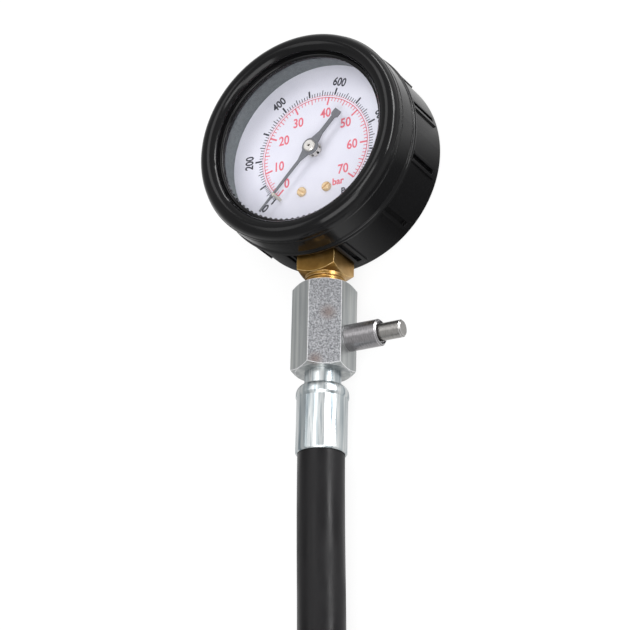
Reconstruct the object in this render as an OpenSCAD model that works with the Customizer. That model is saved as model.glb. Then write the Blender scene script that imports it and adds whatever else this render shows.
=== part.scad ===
// Engine compression tester: a dial gauge, a hexagonal coupling with a push-to-release valve, and a short hose.
// It lies on its back. +Z is the dial's normal, the hose runs along -Y, the release valve points to +X.
// The origin is the centre of the case's flat back. Lengths are in millimetres, angles in degrees.

/* [Case] */
// Radius of the case body
case_r = 33.4; // [32.4:0.1:40]
// Depth of the case's front rim above the dial
dial_room = 5.9; // [5.2:0.1:8.6]
// Thickness of the case's side wall
case_wall = 2; // [1.4:0.1:2.6]
// Thickness of the case's back
case_back_t = 2.2; // [1.4:0.1:2.8]
// Radius of the edge round the case's back
case_edge_r = 1.2; // [0.5:0.1:2]
// How far the neck under the bezel is set in from the body
neck_step = 1.2; // [0.9:0.1:1.5]
// Thickness of the neck's wall
neck_wall = 1.6; // [1.2:0.1:2]
// Number of grip ribs round the case
rib_n = 12; // [8:1:18]
// Width of a grip rib
rib_w = 3.4; // [2.4:0.1:4.4]
// Height of a grip rib over the case
rib_h = 0.45; // [0.2:0.05:0.8]
// Width of the channel along a grip rib
channel_w = 1.5; // [0.8:0.1:2]
// Depth of the channel under the top of its rib
channel_d = 1.1; // [0.6:0.1:1.5]
// Height at which a grip rib ends above the back
rib_foot = 3.2; // [2:0.1:5]

/* [Bezel] */
// Distance of the main roll's centre line inside the skirt's outside
roll_in = 3.3; // [3.2:0.1:3.7]
// Radius of the main roll's round section
roll_round = 3.1; // [2.9:0.05:3.15]
// Radius of the round section of the bead outside the main roll
outer_bead = 1.25; // [1:0.05:1.5]
// Radius of the round section of the bead round the window
inner_bead = 0.8; // [0.5:0.05:0.9]
// Width of the bezel from the skirt's outside to the view through the window
bezel_w = 7.3; // [6.7:0.1:9]
// Thickness of the bezel's skirt
skirt_t = 1.4; // [1:0.1:2]
// Length of the bezel's skirt below the window's top
skirt_len = 9.3; // [8:0.1:12]
// How far the rear lip stands out of the skirt
lip_out = 0.45; // [0.2:0.05:0.8]
// Radius of the rear lip's round section
lip_round = 1.05; // [0.8:0.05:1.3]

/* [Window and dial] */
// Thickness of the window
lens_t = 1.8; // [1.2:0.1:2.4]
// Thickness of the rubber ring under the window
gasket_t = 1; // [0.6:0.1:1.4]
// Wall of the spacer under the rubber ring
spacer_t = 2.1; // [1.4:0.1:2.6]
// Thickness of the dial plate
dial_t = 0.5; // [0.3:0.1:0.8]
// Distance of the dial screws from the dial's centre line
dial_screw_x = 4.2; // [3.6:0.1:4.6]
// Distance of the dial screws below the dial's centre
dial_screw_y = 13; // [12.4:0.1:13.6]
// Radius of a dial screw's head
dial_screw_head_r = 1.45; // [1.2:0.05:1.7]

/* [Pointer] */
// Angle of the pointer at rest, from +X
pointer_rest = 227; // [222:0.1:232]
// Length of the pointer from its axis to the tip
pointer_len = 24.8; // [21:0.1:25]
// Length of the pointer's tail
tail_len = 13.8; // [10:0.1:16]
// Thickness of the pointer
pointer_t = 0.4; // [0.3:0.05:0.6]
// Height of the pointer's underside over the dial
pointer_gap = 3.1; // [2.8:0.1:3.5]
// Width of the pointer at its boss
pointer_root_w = 1.6; // [1.4:0.1:2.2]
// Width of the pointer at its tip
pointer_tip_w = 0.55; // [0.4:0.05:0.9]
// Width of the flag on the tail
flag_w = 2.8; // [2.2:0.1:3.6]
// Radius of the pointer's boss
boss_r = 2.7; // [2.4:0.1:3.2]
// Radius of the hub's cap
hub_r = 1.9; // [1.6:0.05:2.3]
// Height of the hub's cap over the pointer
hub_h = 0.8; // [0.6:0.1:1.2]
// Distance of the stop pin from the dial's centre
stop_r = 18.2; // [16:0.1:20]
// Radius of the stop pin
stop_pin_r = 0.5; // [0.4:0.05:0.6]
// Height of the stop pin over the dial
stop_pin_h = 4.4; // [3:0.1:5.4]

/* [Movement] */
// Tooth module of the pinion and the sector
gear_m = 0.25; // [0.24:0.005:0.26]
// Teeth of the pinion
pinion_teeth = 10; // [10:1:10]
// Teeth that the sector would have as a full wheel
wheel_teeth = 90; // [90:1:90]
// Travel of the sector
sector_travel = 30; // [26:1:30]
// Thickness of a movement plate
plate_t = 1; // [0.7:0.1:1.2]
// Space between the two movement plates
plate_gap = 5; // [4.2:0.1:6]
// Length of the posts that carry the dial on the movement
post_len = 3.3; // [2.4:0.1:5]
// Thickness of the sector and of the link
sheet_t = 0.8; // [0.6:0.05:0.9]
// Radius of the pillars between the plates
pillar_r = 1.2; // [0.9:0.1:1.3]
// Radius of the pinion's arbor
arbor_r = 0.75; // [0.6:0.05:0.85]
// Length of the sector's tail from its arbor to the link's pin
sector_tail = 6; // [5.4:0.1:6.4]

/* [Pressure tube] */
// Gap between the tube and the case's wall
tube_gap = 5.3; // [4.4:0.1:6]
// Width of the flattened tube across its short side
tube_w = 3.2; // [2.4:0.1:3.6]
// Width of the flattened tube across its long side
tube_h = 9; // [7:0.1:9.6]
// Wall of the tube
tube_wall = 0.45; // [0.3:0.05:0.7]
// Angle at which the tube's tip ends
tube_tip_angle = -15; // [-20:1:-10]

/* [Gauge socket] */
// Height of the hose's axis above the case's back
stem_z = 10; // [9.9:0.1:10.4]
// Width across the socket's square
socket_sq = 12.5; // [11.6:0.1:13]
// Thickness of the tongue that carries the movement
tongue_t = 3.25; // [2.6:0.05:4]
// How far the square stands out of the case
socket_out = 4.4; // [3.8:0.1:7]
// Radius of the round collar under the square
collar_r = 6; // [5.4:0.1:6.2]
// Length of the round collar and the turned chamfer above it
collar_len = 4.4; // [3.4:0.1:6]
// Radius of the socket's thread
socket_thread_r = 4.8; // [4.4:0.1:5]
// Length of the socket's thread
socket_thread_len = 8.6; // [7.4:0.1:9.2]
// Radius of the gas bores
gas_r = 2; // [1.6:0.1:2.2]

/* [Coupling] */
// Width of the hexagon across its flats
hex_af = 16.7; // [16.3:0.1:17.2]
// Length of the coupling
hex_len = 27.1; // [26.8:0.1:34]
// Depth of the upper threaded bore
upper_bore_len = 10; // [9.4:0.1:10.4]
// Depth of the lower bore that holds the hose's stem
lower_bore_len = 5.4; // [4.4:0.1:5.8]

/* [Release valve] */
// Distance of the release valve's axis below the coupling's upper end
valve_drop = 17.4; // [16.8:0.1:17.8]
// Radius of the release valve's sleeve
sleeve_r = 4; // [3.8:0.1:4.6]
// How far the sleeve stands out of the coupling's flat
sleeve_out = 10.7; // [9.8:0.1:12]
// Radius of the sleeve's shank in the coupling
shank_r = 3.2; // [2.9:0.1:3.4]
// Radius of the release pin
pin_r = 2.6; // [2.3:0.1:2.65]
// How far the release pin stands out of the sleeve
pin_out = 7.1; // [5:0.1:9]
// Travel of the release pin
pin_travel = 2.6; // [1.5:0.1:2.8]
// Radius of the release pin's stem
pin_stem_r = 1.5; // [1.2:0.05:1.6]
// Turns of the release spring
spring_turns = 5; // [4:0.5:6]
// Radius of the release spring's wire
spring_wire_r = 0.25; // [0.2:0.01:0.28]

/* [Hose] */
// Radius of the hose
hose_r = 6.9; // [6.6:0.1:7.2]
// Radius of the hose's bore
hose_bore_r = 3.2; // [2.8:0.1:3.6]
// Radius of the stem's neck
neck_r = 5.4; // [5:0.1:5.8]
// Length of the neck that shows between the coupling and the ferrule
neck_len = 4.3; // [3:0.1:7]
// Length of a ferrule
ferrule_len = 20.9; // [18:0.1:24]
// Radius of a ferrule's shoulder
shoulder_r = 7.8; // [7.7:0.05:8.2]
// Radius of a ferrule's crimped part, across the flats
crimp_r = 7.4; // [7.35:0.05:7.6]
// Number of crimped flats
crimp_n = 8; // [8:1:12]

/* [End fitting] */
// Width of the end fitting's hexagon across its flats
end_af = 17; // [16.6:0.1:18]
// Length of the end fitting's hexagon
end_hex_len = 10; // [8:0.1:14]
// Radius of the male thread
thread_r = 7; // [6.8:0.1:7.2]
// Length of the male thread
thread_len = 12.7; // [10:0.1:19]
// Radius of the round section of the thread's seal
end_seal_round = 1; // [0.8:0.05:1.2]

/* [Hidden] */
// Clearance of a running fit, on the radius
run_gap = 0.05;
// Clearance between pieces that are seated on each other
seat_gap = 0.1;
// Overrun of a cut past the face that it opens
cut = 1;
eps = 0.01;
round_fn = 96;
small_fn = 48;

// Heights from the case's back: the socket's tongue, the movement on it, the dial on its posts, the rim
tongue_z = stem_z - socket_sq / 2 + tongue_t;
back_plate_z = tongue_z;
plate_lo = back_plate_z + plate_t;
plate_hi = plate_lo + plate_gap;
front_plate_z = plate_hi;
post_z = front_plate_z + plate_t;
dial_under = post_z + post_len;
dial_z = dial_under + dial_t;
case_h = dial_z + dial_room;

case_in_r = case_r - case_wall;
case_neck_r = case_r - neck_step;
case_neck_in_r = case_neck_r - neck_wall;
lens_z = case_h + gasket_t;
lens_top = lens_z + lens_t;
skirt_in_r = case_neck_r + seat_gap;
skirt_out_r = skirt_in_r + skirt_t;
roll_r = skirt_out_r - roll_in;
view_r = skirt_out_r - bezel_w;
spacer_in_r = case_neck_in_r - seat_gap - spacer_t;
tube_r = case_in_r - tube_gap - tube_w / 2;
skirt_z = lens_top - skirt_len;
lens_r = case_neck_r - seat_gap;
roll_z = lens_top + roll_round / 2;
shoulder_z = skirt_z - seat_gap;
body_top_z = shoulder_z;
groove_r = 0.4;
groove_z = roll_z - outer_bead - groove_r;
wall_in_r = view_r + 2 * inner_bead - groove_r / 2;
rib_top = body_top_z;
rib_turn = 15;
rib_in = case_wall / 2;

dial_edge_gap = 0.3;
dial_r = case_neck_in_r - dial_edge_gap;
dial_hole_r = 1.6;
dial_screw_r = 0.8;
dial_screw_head_h = 1.1;
dial_screw_slot_w = 0.4;
dial_screw_slot_d = 0.45;
dial_screw_dome = 0.35;
slot_turn = 35;

pointer_z = dial_z + pointer_gap;
pointer_top = pointer_z + pointer_t;
pointer_core_r = 1.3;
pointer_mid_share = 0.62;
tail_w_share = 0.85;
flag_start_share = 0.81;
flag_end_share = 0.92;
foot_share = 0.75;
bush_r = 2.35;
bush_drop = 2.5;
bush_slot_w = 0.7;
bush_slots = 8;
bush_slot_share = 0.7;
hub_hole_r = 0.45;
hub_hole_d = 0.25;
hub_edge = 0.3;
stop_gap = 0.04;
pointer_half_at_stop = pointer_tip_w / 2
  + (pointer_root_w * pointer_mid_share - pointer_tip_w) / 2 * max(0, 1 - stop_r / pointer_len);
stop_angle = pointer_rest + asin((pointer_half_at_stop + stop_pin_r + stop_gap) / stop_r);

// Movement: the pinion is on the dial's axis and the sector's arbor is at the gears' centre distance
pinion_r = gear_m * pinion_teeth / 2;
wheel_r = gear_m * wheel_teeth / 2;
gear_dist = pinion_r + wheel_r;
mesh_angle = atan2(4, -3);
sector_x = -gear_dist * cos(mesh_angle);
sector_y = -gear_dist * sin(mesh_angle);
backlash_share = 0.88;
sector_share = 0.46;
tip_gap = 0.25;
tooth_tip_share = 0.5;
tooth_root_share = 1.5;
sector_z = plate_lo + plate_gap * sector_share;
link_z = sector_z + sheet_t + seat_gap;
sector_arbor_r = 0.7;
sector_margin = 6;
sector_hub_r = 2;
rim_w = 2.4;
web_w = 1;
spoke_turn = 6;
tail_rest = -90 - sector_travel / 2;
tail_pin = [sector_x + sector_tail * cos(tail_rest), sector_y + sector_tail * sin(tail_rest)];
link_pin_r = 0.55;
eye_r = 1.25;
link_t = 0.6;
link_w = 1.5;
pivot_r = 0.45;
collet_r = 1.4;
collet_h = 1.2;
pinion_h = sheet_t + 4 * seat_gap;
spring_ribbon = 0.14;
spring_tall = 0.7;
hair_turns = 3.5;
hair_in_r = collet_r + seat_gap;
hair_out_r = 3.7;
hair_lift = 0.35;
hair_z = plate_lo + hair_lift;
stud_r = 0.5;
// Places on the movement's plates, as shares of the tube's radius
plate_shares = [[-0.28, -0.76], [0.28, -0.76], [0.46, -0.51], [0.46, 0.21], [-0.28, 0.21]];
pillar_shares = [[-0.19, -0.68], [-0.2, 0.13], [0.385, 0.14]];
plate_screw_shares = [[-0.147, -0.54], [0.122, -0.7]];
plate_pts = tube_r * plate_shares;
pillar_pts = tube_r * pillar_shares;
plate_screw_pts = tube_r * plate_screw_shares;
plate_screw_r = 0.9;
plate_screw_head_r = 1.35;
plate_screw_head_h = 0.8;
plate_screw_len = 2.6;

// Pressure tube and its tip
tube_root_angle = 262;
seat_turn = 20;
seat_end_turn = 0.5;
tip_len = 3;
tip_over = 1;
tip_wide = tube_w + tip_over;
tip_tall = tube_h + tip_over;
tip_tab_len = 7;
tip_tab_w = 3.4;
tip_pin_share = 0.73;
tip_pin_r = tube_r - tip_wide / 2 - tip_tab_len * tip_pin_share;
tip_pin_turn = 4;
tip_pin_angle = tube_tip_angle - tip_pin_turn;
tip_pin = [tip_pin_r * cos(tip_pin_angle), tip_pin_r * sin(tip_pin_angle)];
link_angle = atan2(tip_pin[1] - tail_pin[1], tip_pin[0] - tail_pin[0]);
link_len = norm(tip_pin - tail_pin);

// Socket, from the movement's seat out to its thread
block_in = 3;
block_in_y = block_in - tube_r;
tongue_end_share = 0.35;
tongue_end_y = -tube_r * tongue_end_share;
socket_y = -(case_r + socket_out);
collar_chamfer = 1;
corner_share = 0.75;
cross_bore_len = 4.4;
groove_share = 0.43;
collar_groove_d = 0.55;
collar_end_y = socket_y - collar_len;
socket_end_y = collar_end_y - socket_thread_len;
socket_fit = 0.15;

// Coupling, and the washer at the bottom of its upper bore
washer_in = 0.4;
washer_t = upper_bore_len - socket_thread_len;
washer_r = socket_thread_r - seat_gap;
hex_r = hex_af / sqrt(3);
hex_top_y = collar_end_y;
hex_low_y = hex_top_y - hex_len;
hex_chamfer_tan = tan(30);
hex_face_share = 0.98;
hex_turn = 30;
valve_y = hex_top_y - valve_drop;
flat_x = hex_af / 2;

// Release valve, along +X from the coupling's axis
sleeve_end_x = flat_x + sleeve_out;
pin_end_x = sleeve_end_x + pin_out;
chamber_end_x = -1.5;
shank_end_x = 3.9;
lip_in = 2;
lip_x = sleeve_end_x - lip_in;
lip_t = 1.2;
sleeve_edge = 0.45;
spring_room = 0.45;
sleeve_bore_r = pin_r + spring_room;
floor_in = 0.4;
sleeve_floor_x = flat_x + floor_in;
flange_t = 1.9;
flange_x = lip_x - flange_t - run_gap;
poppet_r = 2.3;
poppet_t = 1;
seal_round = 0.4;
seal_ring_r = pin_stem_r + seal_round;
poppet_x = shank_end_x - 2 * seal_round - poppet_t - run_gap;
pin_edge = 0.4;
spring_len = flange_x - sleeve_floor_x;
spring_r = (pin_stem_r + sleeve_bore_r) / 2;

// Hose, ferrules and end fitting
barb_r = hose_bore_r - run_gap;
barb_short = 4;
barb_len = ferrule_len - barb_short;
stem_shank_step = 0.4;
stem_shank_r = neck_r - stem_shank_step;
stem_bore_r = 1.8;
ferrule_y = hex_low_y - neck_len;
dome_len = 2.8;
hose_start_y = ferrule_y - dome_len;
ferrule_bore_r = hose_r + run_gap;
ferrule_mouth_y = ferrule_y - ferrule_len;
mouth_edge = 0.5;
dome_lip = 0.2;
shoulder_len = 0.6;
crimp_slope = 0.9;
crimp_start = dome_len + shoulder_len + crimp_slope;
crimp_corner = 0.12;
crimp_corner_r = crimp_r + crimp_corner;
stem_wall = 0.9;
end_z = end_af / 2;
// The route's points are the hose's centre line: length along -Y from the first ring, x and height
hose_len = 350;
route = [[0, 0, 10], [10, 0, 10], [20, 0, 10], [40, 0.4, 9.9], [60, 1, 9.8], [85, 1.7, 9.6], [110, 2.4, 9.4],
  [140, 3.1, 9.2], [170, 3.6, 9], [200, 3.9, 8.8], [230, 4, 8.7], [260, 4, 8.6], [285, 4, 8.5], [310, 4, 8.5],
  [330, 4, 8.5], [340, 4, 8.5], [350, 4, 8.5]];
end_x = 4;
hose_sides = 12;
hose_end_y = hose_start_y - hose_len;
end_mouth_y = hose_end_y - dome_len + ferrule_len;
end_ferrule_y = hose_end_y - dome_len;
end_hex_y = end_ferrule_y - neck_len;
end_face_y = end_hex_y - end_hex_len;
thread_end_y = end_face_y - thread_len;
thread_edge = 1;
thread_relief = 0.9;
relief_w = 2 * end_seal_round + seat_gap;
core_r = 2.4;
core_len = 9;
core_stem_r = 0.5;
core_head_r = 1.1;
core_seat_len = 4;

// Turns a child that is drawn along +Z so that it runs along -Y, from (x, y, z)
module down_y(y, z, x = 0) {
  translate([x, y, z]) rotate([90, 0, 0]) children();
}

// Turns a child that is drawn along +Z so that it runs along +X, on the release valve's axis
module along_x(x) {
  translate([x, valve_y, stem_z]) rotate([0, 90, 0]) children();
}

module stadium(w, h) {
  square([w, h - w], center = true);
  for (s = [-1, 1]) translate([0, s * (h - w) / 2]) circle(d = w, $fn = small_fn);
}

module sector_of(r, from, to) {
  steps = 24;
  polygon(concat([[0, 0]], [for (i = [0 : steps]) let (a = from + (to - from) * i / steps) [r * cos(a), r * sin(a)]]));
}

// One tooth space as a ring of points: root, flank and tip widths follow the module
function tooth_pts(teeth, r, i) =
  let (
    pitch = 360 / teeth,
    half = pitch / 4 * backlash_share,
    tip = half * tooth_tip_share,
    root = half * tooth_root_share,
    a = i * pitch,
    r_tip = r + gear_m,
    r_root = r - gear_m - gear_m * tip_gap
  )
  [
    [r_root * cos(a - root), r_root * sin(a - root)],
    [r_tip * cos(a - tip), r_tip * sin(a - tip)],
    [r_tip * cos(a + tip), r_tip * sin(a + tip)],
    [r_root * cos(a + root), r_root * sin(a + root)]
  ];

module case_cup() {
  color([0.13, 0.13, 0.14]) difference() {
    union() {
      rotate_extrude($fn = round_fn) case_outline();
      grip_ribs();
    }
    rotate_extrude($fn = round_fn) {
      translate([0, case_back_t]) square([case_in_r, shoulder_z - case_back_t - case_wall]);
      translate([0, case_back_t]) square([case_neck_in_r, case_h]);
    }
    grip_channels();
    translate([0, -case_r, stem_z])
      cube([socket_sq + 2 * socket_fit, 4 * case_wall + 2 * cut, socket_sq + 2 * socket_fit], center = true);
  }
}

module case_outline() {
  square([case_r - case_edge_r, body_top_z]);
  translate([0, case_edge_r]) square([case_r, body_top_z - case_edge_r]);
  translate([case_r - case_edge_r, case_edge_r]) circle(case_edge_r, $fn = small_fn);
  square([case_neck_r, case_h]);
}

module grip_ribs() {
  for (i = [0 : rib_n - 1]) rotate(rib_turn + i * 360 / rib_n)
    translate([case_r - rib_in, -rib_w / 2, rib_foot]) cube([rib_in + rib_h, rib_w, rib_top - rib_foot]);
}

module grip_channels() {
  for (i = [0 : rib_n - 1]) rotate(rib_turn + i * 360 / rib_n)
    translate([case_r + rib_h - channel_d, -channel_w / 2, rib_foot + channel_w])
      cube([channel_d + cut, channel_w, rib_top]);
}

module bezel_ring() {
  color([0.09, 0.09, 0.1]) rotate_extrude($fn = round_fn) bezel_section();
}

// The bezel's section: skirt, rear lip, main roll between an outer bead and the bead round the window
module bezel_section() {
  difference() {
    union() {
      translate([skirt_in_r, skirt_z]) square([skirt_t, roll_z - skirt_z]);
      translate([skirt_in_r, lens_top]) square([skirt_t, roll_z - lens_top]);
      translate([skirt_out_r + lip_out - lip_round, skirt_z + lip_round]) circle(lip_round, $fn = small_fn);
      translate([skirt_out_r - outer_bead, roll_z - groove_r]) circle(outer_bead, $fn = small_fn);
      translate([roll_r, roll_z]) circle(roll_round, $fn = round_fn);
      translate([wall_in_r, lens_top]) square([skirt_in_r - wall_in_r, roll_z - lens_top]);
    }
    translate([0, skirt_z - cut]) square([skirt_in_r, lens_top - skirt_z + cut]);
    translate([0, lens_top - cut]) square([wall_in_r, 3 * roll_round]);
    translate([skirt_out_r + groove_r / 2, skirt_z + 2 * lip_round + groove_r]) circle(groove_r, $fn = small_fn);
    translate([skirt_out_r + groove_r / 4, groove_z]) circle(groove_r, $fn = small_fn);
  }
  translate([view_r + inner_bead, lens_top]) square([wall_in_r - view_r - inner_bead + groove_r, inner_bead]);
  translate([view_r, lens_top]) square([inner_bead, inner_bead]);
  translate([view_r + inner_bead, lens_top + inner_bead]) circle(inner_bead, $fn = small_fn);
}

module window_lens() {
  color([0.85, 0.9, 0.92, 0.3]) translate([0, 0, lens_z]) cylinder(r = lens_r, h = lens_t, $fn = round_fn);
}

module ring(r_out, r_in, h) {
  difference() {
    cylinder(r = r_out, h = h, $fn = round_fn);
    translate([0, 0, -cut]) cylinder(r = r_in, h = h + 2 * cut, $fn = round_fn);
  }
}

module lens_gasket() {
  color([0.22, 0.23, 0.24]) translate([0, 0, case_h]) ring(lens_r, spacer_in_r, gasket_t);
}

module spacer_ring() {
  color([0.4, 0.42, 0.44]) translate([0, 0, dial_z])
    ring(case_neck_in_r - seat_gap, spacer_in_r, case_h - dial_z - seat_gap);
}

module dial_plate() {
  color([0.93, 0.93, 0.95]) translate([0, 0, dial_under]) difference() {
    cylinder(r = dial_r, h = dial_t, $fn = round_fn);
    translate([0, 0, -cut]) cylinder(r = dial_hole_r, h = dial_t + 2 * cut, $fn = small_fn);
    for (s = [-1, 1]) translate([s * dial_screw_x, -dial_screw_y, -cut])
      cylinder(r = dial_screw_r + run_gap, h = dial_t + 2 * cut, $fn = small_fn);
    rotate(stop_angle) translate([stop_r, 0, -cut])
      cylinder(r = stop_pin_r, h = dial_t + 2 * cut, $fn = small_fn);
  }
}

module dial_screws() {
  color([0.78, 0.62, 0.38]) for (s = [-1, 1]) translate([s * dial_screw_x, -dial_screw_y, 0]) difference() {
    union() {
      translate([0, 0, post_z]) cylinder(r = dial_screw_r, h = dial_z - post_z + eps, $fn = small_fn);
      translate([0, 0, dial_z]) rotate_extrude($fn = small_fn) screw_head_section();
    }
    rotate(s * slot_turn) translate([-dial_screw_head_r - cut, -dial_screw_slot_w / 2,
      dial_z + dial_screw_head_h - dial_screw_slot_d])
      cube([2 * (dial_screw_head_r + cut), dial_screw_slot_w, dial_screw_slot_d + cut]);
  }
}

module screw_head_section() {
  polygon([[0, 0], [dial_screw_head_r, 0], [dial_screw_head_r, dial_screw_head_h - dial_screw_dome],
    [dial_screw_head_r - dial_screw_dome, dial_screw_head_h], [0, dial_screw_head_h]]);
}

module stop_pin() {
  color([0.75, 0.74, 0.7]) rotate(stop_angle) translate([stop_r, 0, dial_under])
    cylinder(r = stop_pin_r, h = dial_t + stop_pin_h, $fn = small_fn);
}

module pointer() {
  color([0.42, 0.43, 0.45]) translate([0, 0, pointer_z]) rotate(pointer_rest) difference() {
    union() {
      linear_extrude(pointer_t) pointer_arms();
      cylinder(r = boss_r, h = pointer_t, $fn = small_fn);
    }
    translate([0, 0, -cut]) cylinder(r = pointer_core_r + run_gap, h = pointer_t + 2 * cut, $fn = small_fn);
  }
}

// Needle towards +X, tail and flag towards -X
module pointer_arms() {
  root = pointer_root_w / 2;
  tip = pointer_tip_w / 2;
  mid = root * pointer_mid_share;
  arm = root * tail_w_share;
  foot = boss_r * foot_share;
  flag_x = tail_len * flag_start_share;
  side = flag_w / 2;
  corner = flag_w / 2 * flag_end_share;
  polygon([[0, foot], [2 * boss_r, mid], [pointer_len, tip], [pointer_len, -tip], [2 * boss_r, -mid],
    [0, -foot], [-2 * boss_r, -arm], [-flag_x, -arm], [-flag_x - side / 2, -side], [-tail_len, -corner],
    [-tail_len, corner], [-flag_x - side / 2, side], [-flag_x, arm], [-2 * boss_r, arm]]);
}

module pointer_hub() {
  color([0.84, 0.8, 0.68]) difference() {
    union() {
      translate([0, 0, pointer_z - bush_drop]) difference() {
        cylinder(r = bush_r, h = bush_drop, $fn = small_fn);
        for (i = [0 : bush_slots - 1]) rotate(i * 360 / bush_slots)
          translate([pointer_core_r, -bush_slot_w / 2, -cut]) cube([bush_r, bush_slot_w, bush_drop * bush_slot_share + cut]);
      }
      translate([0, 0, pointer_z - bush_drop])
        cylinder(r = pointer_core_r, h = bush_drop + pointer_t + eps, $fn = small_fn);
      translate([0, 0, pointer_top]) rotate_extrude($fn = small_fn)
        polygon([[0, 0], [hub_r, 0], [hub_r, hub_h - hub_edge], [hub_r - hub_edge, hub_h], [0, hub_h]]);
    }
    translate([0, 0, pointer_z - bush_drop - cut])
      cylinder(r = arbor_r + run_gap, h = bush_drop + pointer_t + cut + hub_h / 2, $fn = small_fn);
    translate([0, 0, pointer_top + hub_h - hub_hole_d]) cylinder(r = hub_hole_r, h = hub_hole_d + cut, $fn = small_fn);
  }
}

module pinion_arbor() {
  color([0.72, 0.7, 0.62]) union() {
    translate([0, 0, back_plate_z + seat_gap]) cylinder(r = pivot_r, h = plate_t, $fn = small_fn);
    translate([0, 0, plate_lo + seat_gap])
      cylinder(r = arbor_r, h = pointer_top + hub_h / 2 - plate_lo - 2 * seat_gap, $fn = small_fn);
    translate([0, 0, hair_z]) cylinder(r = collet_r, h = collet_h, $fn = small_fn);
    translate([0, 0, sector_z - 2 * seat_gap]) linear_extrude(pinion_h) rotate(mesh_angle + 180 / pinion_teeth)
      polygon([for (i = [0 : pinion_teeth - 1]) each tooth_pts(pinion_teeth, pinion_r, i)]);
  }
}

module movement_plate(z, hole_r) {
  translate([0, 0, z]) difference() {
    linear_extrude(plate_t) polygon(plate_pts);
    translate([0, 0, -cut]) cylinder(r = hole_r, h = plate_t + 2 * cut, $fn = small_fn);
    translate([sector_x, sector_y, -cut])
      cylinder(r = pivot_r + run_gap, h = plate_t + 2 * cut, $fn = small_fn);
    children();
  }
}

module movement_back_plate() {
  color([0.76, 0.6, 0.34]) movement_plate(back_plate_z, pivot_r + run_gap)
    for (q = plate_screw_pts) translate([q[0], q[1], -cut])
      cylinder(r = plate_screw_r, h = plate_t + 2 * cut, $fn = small_fn);
}

module movement_front_plate() {
  color([0.78, 0.62, 0.36]) union() {
    movement_plate(front_plate_z, arbor_r + run_gap);
    for (s = [-1, 1]) translate([s * dial_screw_x, -dial_screw_y, front_plate_z]) difference() {
      cylinder(r = dial_screw_r + 2 * sheet_t, h = dial_under - front_plate_z, $fn = small_fn);
      translate([0, 0, plate_t]) cylinder(r = dial_screw_r, h = dial_under, $fn = small_fn);
    }
  }
}

module movement_pillars() {
  color([0.74, 0.58, 0.32]) for (q = pillar_pts) translate([q[0], q[1], plate_lo])
    cylinder(r = pillar_r, h = plate_gap, $fn = small_fn);
}

module movement_screws() {
  color([0.7, 0.7, 0.68]) for (q = plate_screw_pts) translate([q[0], q[1], plate_lo]) difference() {
    union() {
      cylinder(r = plate_screw_head_r, h = plate_screw_head_h, $fn = small_fn);
      translate([0, 0, -plate_screw_len]) cylinder(r = plate_screw_r, h = plate_screw_len + eps, $fn = small_fn);
    }
    translate([-plate_screw_head_r - cut, -dial_screw_slot_w / 2, plate_screw_head_h / 2])
      cube([2 * (plate_screw_head_r + cut), dial_screw_slot_w, plate_screw_head_h]);
  }
}

// The sector: a toothed rim on a web, a hub on its arbor and a tail for the link
module sector_gear() {
  first = floor((mesh_angle - sector_travel - sector_margin) * wheel_teeth / 360);
  last = ceil((mesh_angle + sector_margin) * wheel_teeth / 360);
  phase = mesh_angle - round(mesh_angle * wheel_teeth / 360) * 360 / wheel_teeth;
  pitch = 360 / wheel_teeth;
  rim_r = wheel_r - gear_m - gear_m * tip_gap;
  from = phase + (first - 0.5) * pitch;
  to = phase + (last + 0.5) * pitch;
  color([0.8, 0.66, 0.4]) translate([sector_x, sector_y, 0]) union() {
    translate([0, 0, sector_z]) linear_extrude(sheet_t) difference() {
      union() {
        rotate(phase) polygon(concat([[0, 0]], [for (i = [first : last]) each tooth_pts(wheel_teeth, wheel_r, i)]));
        circle(sector_hub_r, $fn = small_fn);
        rotate(tail_rest) translate([0, -eye_r]) square([sector_tail, 2 * eye_r]);
        translate(tail_pin - [sector_x, sector_y]) circle(eye_r, $fn = small_fn);
      }
      sector_window(rim_r - rim_w, sector_hub_r + web_w, from + spoke_turn, to - spoke_turn);
      translate(tail_pin - [sector_x, sector_y]) circle(link_pin_r + run_gap, $fn = small_fn);
    }
    translate([0, 0, back_plate_z + seat_gap])
      cylinder(r = pivot_r, h = 2 * plate_t + plate_gap - 2 * seat_gap, $fn = small_fn);
    translate([0, 0, plate_lo + seat_gap])
      cylinder(r = sector_arbor_r, h = plate_gap - 2 * seat_gap, $fn = small_fn);
  }
}

module sector_window(r_out, r_in, from, to) {
  difference() {
    sector_of(r_out, from, to);
    circle(r_in, $fn = small_fn);
  }
}

// A flat spiral: radius grows evenly with the angle
module hairspring() {
  steps = 84;
  mid = [for (i = [0 : steps]) let (s = i / steps) [hair_in_r + (hair_out_r - hair_in_r) * s, 360 * hair_turns * s]];
  outer = [for (q = mid) [(q[0] + spring_ribbon) * cos(q[1]), (q[0] + spring_ribbon) * sin(q[1])]];
  inner = [for (i = [steps : -1 : 0]) [mid[i][0] * cos(mid[i][1]), mid[i][0] * sin(mid[i][1])]];
  end = mid[steps];
  color([0.62, 0.64, 0.7]) union() {
    translate([0, 0, hair_z + seat_gap]) linear_extrude(spring_tall) polygon(concat(outer, inner));
    rotate(end[1]) translate([end[0] + stud_r, 0, plate_lo])
      cylinder(r = stud_r + spring_ribbon / 2, h = hair_z - plate_lo + spring_tall + 2 * seat_gap, $fn = small_fn);
  }
}

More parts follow.
